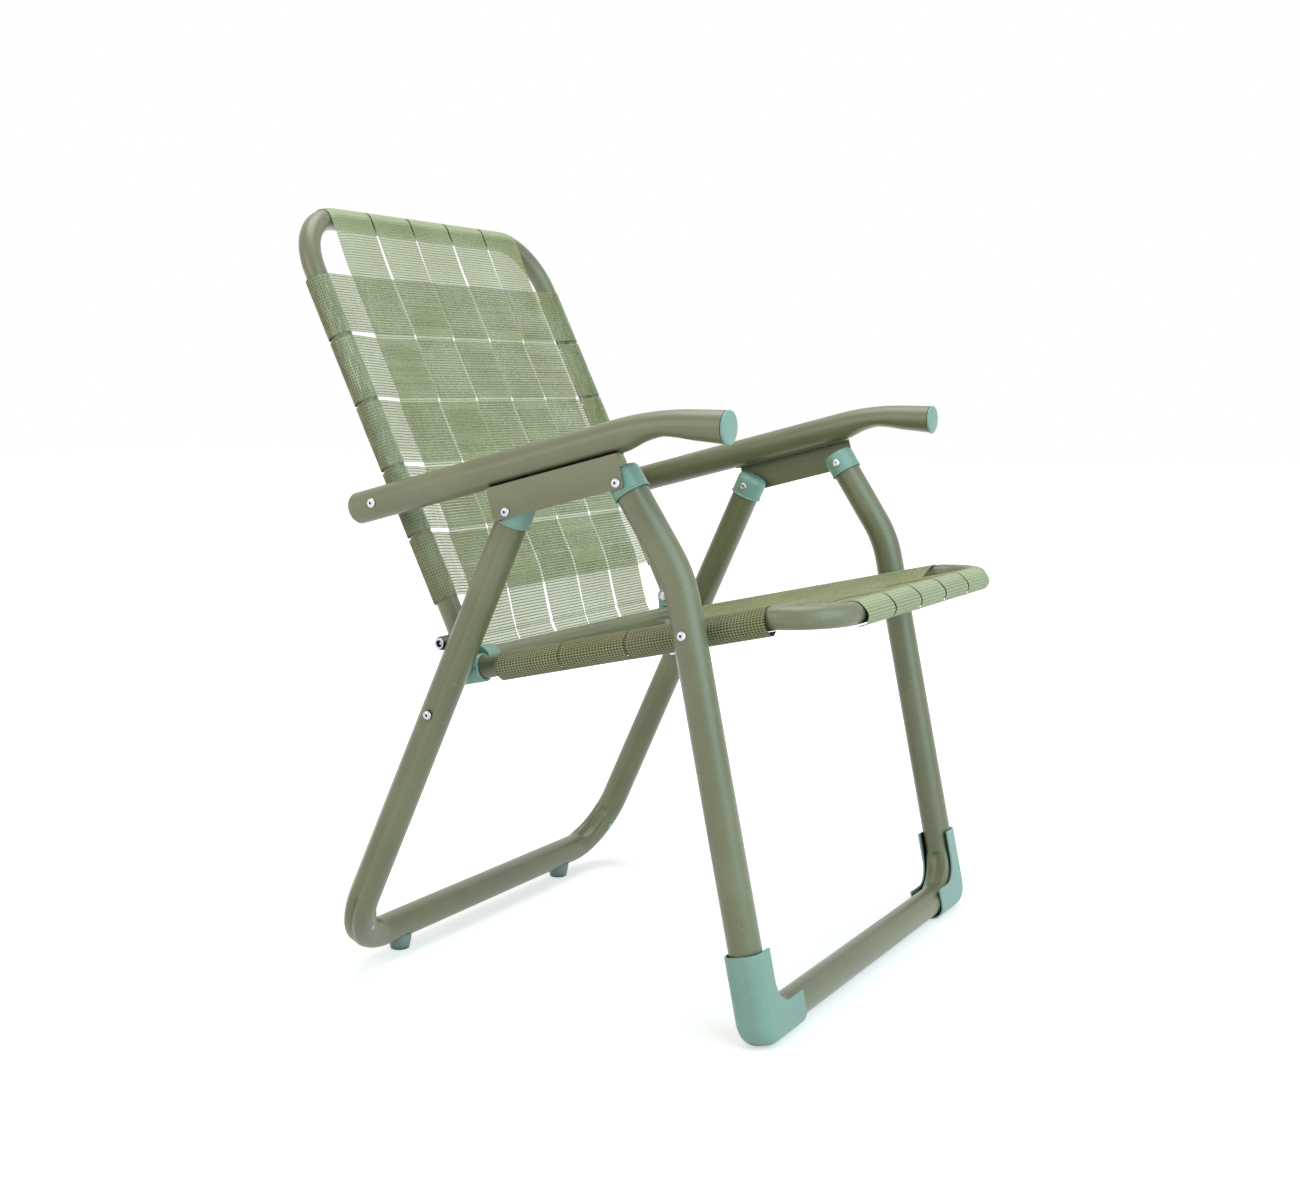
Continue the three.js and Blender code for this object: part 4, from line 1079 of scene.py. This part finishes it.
def lay_strap(name, path, tucks, across, lean, body, cloth, nodes, width=strap_width, settled=None):
    columns = 9
    bm = bmesh.new()
    lay = bm.loops.layers.uv.new("lay")
    tucked = bm.verts.layers.float.new("tucked")
    bmesh.ops.create_grid(bm, x_segments=len(path) - 1, y_segments=columns - 1, size=0.5)
    length = [0.0]
    for before, after in zip(path, path[1:]):
        length.append(length[-1] + (after - before).length)
    step_of = {vert: round((vert.co.x + 0.5) * (len(path) - 1)) for vert in bm.verts}
    share_of = {vert: vert.co.y + 0.5 for vert in bm.verts}
    for face in bm.faces:
        for loop in face.loops:
            loop[lay].uv = (length[step_of[loop.vert]] * 0.001, share_of[loop.vert] * strap_width * 0.001)
    for vert in bm.verts:
        vert[tucked] = tucks[step_of[vert]]
        vert.co = path[step_of[vert]] + across * (share_of[vert] - 0.5) * width
        if settled:
            vert.co = settled(vert.co)
    bmesh.ops.solidify(bm, geom=bm.faces[:], thickness=strap_thickness)
    piece = settle(bm, name, body, cloth, nodes, lean, sharp=70)


# How far each step of a strap is tucked in: most behind a tube, a little in front of it. The webbing paints
# shade from it behind a tube and a highlight in front.
def tucks_at(line, at_start, at_end, share=0.74, deepest=0.55, shallow=0.34):
    tucks = []
    for step in range(len(line)):
        tuck = 0
        for steps, inward in ((at_start, step), (at_end, len(line) - 1 - step)):
            behind = eased((steps * share - inward) / 6)
            in_front = eased((steps - inward) / 2)
            tuck = max(tuck, (deepest - shallow) * behind + shallow * in_front)
        tucks.append(tuck)
    return tucks


cross_in_back = Matrix.Rotation(radians(back_lean - seat_slope), 2) @ Vector((-cross_ahead, -cross_drop))
back_end = Vector((cross_in_back.y, -cross_in_back.x - wrap_radius))
back_start = Vector((back_length, wrap_radius))
back_bend = Vector((back_rows[0], 1.5))
seat_start = Vector((seat_length, -seat_rail_drop + wrap_radius))
seat_end = Vector((cross_ahead, -cross_drop - wrap_radius))


def level_between(start, end, place):
    return start.y + (end.y - start.y) * (place - start.x) / (end.x - start.x)


def back_level(place):
    return level_between(back_start, back_bend, place)


def seat_level(place):
    return level_between(seat_start, seat_end, place)


# Straps across a panel, from side tube to side tube
shaded = {"back": (0.74, 0.55), "seat": (1, 1)}
crossing_edge = upright_places[0] - strap_width / 2 - 6
free_from = upright_places[-1] + 20


def lay_across(panel, rows, widths, level_at, tube_level, to_space, across, lean):
    for row, place in enumerate(rows):
        heights = [level_at(place) + woven(row, column) for column in range(upright_count)]
        first = Vector((crossing_edge, heights[0]))
        wrap = wrap_points(Vector((-frame_half_width, tube_level)), first, 1, side_sweep, hem_slack[panel])
        ends = wrap[-1]
        middle = []
        for x in evenly(ends.x, -ends.x):
            level = weave_level(x, upright_places, heights)
            nearness = eased((abs(x) - free_from) / (-ends.x - free_from))
            middle.append(Vector((x, level * (1 - nearness) + ends.y * nearness)))
        line = wrap + middle[:-1] + [Vector((-point.x, point.y)) for point in reversed(wrap)]
        path = [to_space(point.x, place, point.y) for point in line]
        tucks = tucks_at(line, len(wrap), len(wrap), *shaded[panel])
        lay_strap(
            f"{panel}_cross_web_{row + 1}", path, tucks, across, lean, panel, cross_webbing,
            [f"{panel}_cross_strap_{row + 1}"], widths[row],
        )


lay_across(
    "back", back_rows, back_row_widths, back_level, 0,
    lambda x, place, out: Vector((x, -out, place + back_row_tilt * x / frame_half_width)),
    Vector((0, 0, 1)), on_back,
)
lay_across(
    "seat", seat_rows, seat_row_widths, seat_level, -seat_drop,
    lambda x, place, out: Vector((x, -place, out)),
    Vector((0, -1, 0)), on_seat,
)

# Straps up the back: webbing run from behind the cross tube up to the top rail and over it.
# Low down they have crept together in pairs, and the outer two follow the bends of the rail.
crept = (0, -1.5, 0.5, -1.0, 1.0)
creep_start = 20
creep_fade = 160
low_end = Vector((2, back_end.y + 0.4))
low_fade = (72, -8)


def follow_bend(point):
    over = max(abs(point.x) - (frame_half_width - back_corner), 0)
    fallen = back_corner - sqrt(back_corner ** 2 - over ** 2)
    return point - Vector((0, 0, fallen * eased((point.z - back_rows[-1] - 40) / 40)))


def creep(column, place):
    return upright_places[column] + crept[column] * (1 - eased((place - creep_start) / creep_fade))


# A strap's way along a panel, brought to the level of its wraps at both ends
def run_along(begin, ends, rows, heights, low_from, low_to, high_from):
    line = []
    for place in evenly(begin.x, ends.x):
        level = weave_level(place, rows, heights)
        low = eased((low_from - place) / (low_from - low_to))
        high = eased((place - high_from) / (ends.x - high_from))
        level = level * (1 - low) + begin.y * low
        level = level * (1 - high) + ends.y * high
        line.append(Vector((place, level)))
    return line


for column in range(upright_count):
    heights = [back_level(place) - woven(row, column) for row, place in enumerate(back_rows)]
    last = Vector((back_rows[-1] + strap_width / 2, heights[-1]))
    wrap = wrap_points(Vector((back_length, 0)), last, -1, end_sweep, hem_slack["top"])
    wrap.reverse()
    ends = wrap[0]
    line = [low_end] + run_along(low_end, ends, back_rows, heights, *low_fade, last.x + 4) + wrap[1:]
    path = [Vector((creep(column, point.x), -point.y, point.x)) for point in line]
    lay_strap(
        f"back_long_web_{column + 1}", path, tucks_at(line, 0, len(wrap)), Vector((1, 0, 0)), on_back, "back",
        webbing, [f"back_long_strap_{column + 1}"], settled=follow_bend,
    )

# Straps along the seat: webbing over the front tube, along, and round under the cross tube.
# Behind the cross tube each one runs up to the low end of its strap in the back.
cross_centre = Vector((cross_ahead, -cross_drop))
hem_tails = (27.4, 13)
hem = radians(180 + back_lean - seat_slope)
rise = Vector((-cos(hem - pi / 2), -sin(hem - pi / 2)))
for column in range(upright_count):
    heights = [seat_level(place) - woven(row, column) for row, place in enumerate(seat_rows)]
    last = Vector((seat_rows[-1] + strap_width / 2, heights[-1]))
    front_tube = Vector((seat_length, -seat_rail_drop))
    front_wrap = wrap_points(front_tube, last, -1, end_sweep, hem_slack["front"])
    front_wrap.reverse()
    first = Vector((seat_rows[0] - strap_width / 2, heights[0]))
    sweep = leaving(cross_centre, first, -1) + 2 * pi - hem
    rear_wrap = wrap_points(cross_centre, first, -1, sweep)
    line = [rear_wrap[0] - rise * tail for tail in hem_tails] + rear_wrap
    begin, ends = rear_wrap[-1], front_wrap[0]
    line += run_along(begin, ends, seat_rows, heights, first.x, begin.x, last.x) + front_wrap[1:]
    path = [Vector((creep(column, point.x), -point.x, point.y)) for point in line]
    tucks = tucks_at(line, 0, len(front_wrap))
    lay_strap(
        f"seat_long_web_{column + 1}", path, tucks, Vector((1, 0, 0)), on_seat, "seat", webbing,
        [f"seat_long_strap_{column + 1}"],
    )
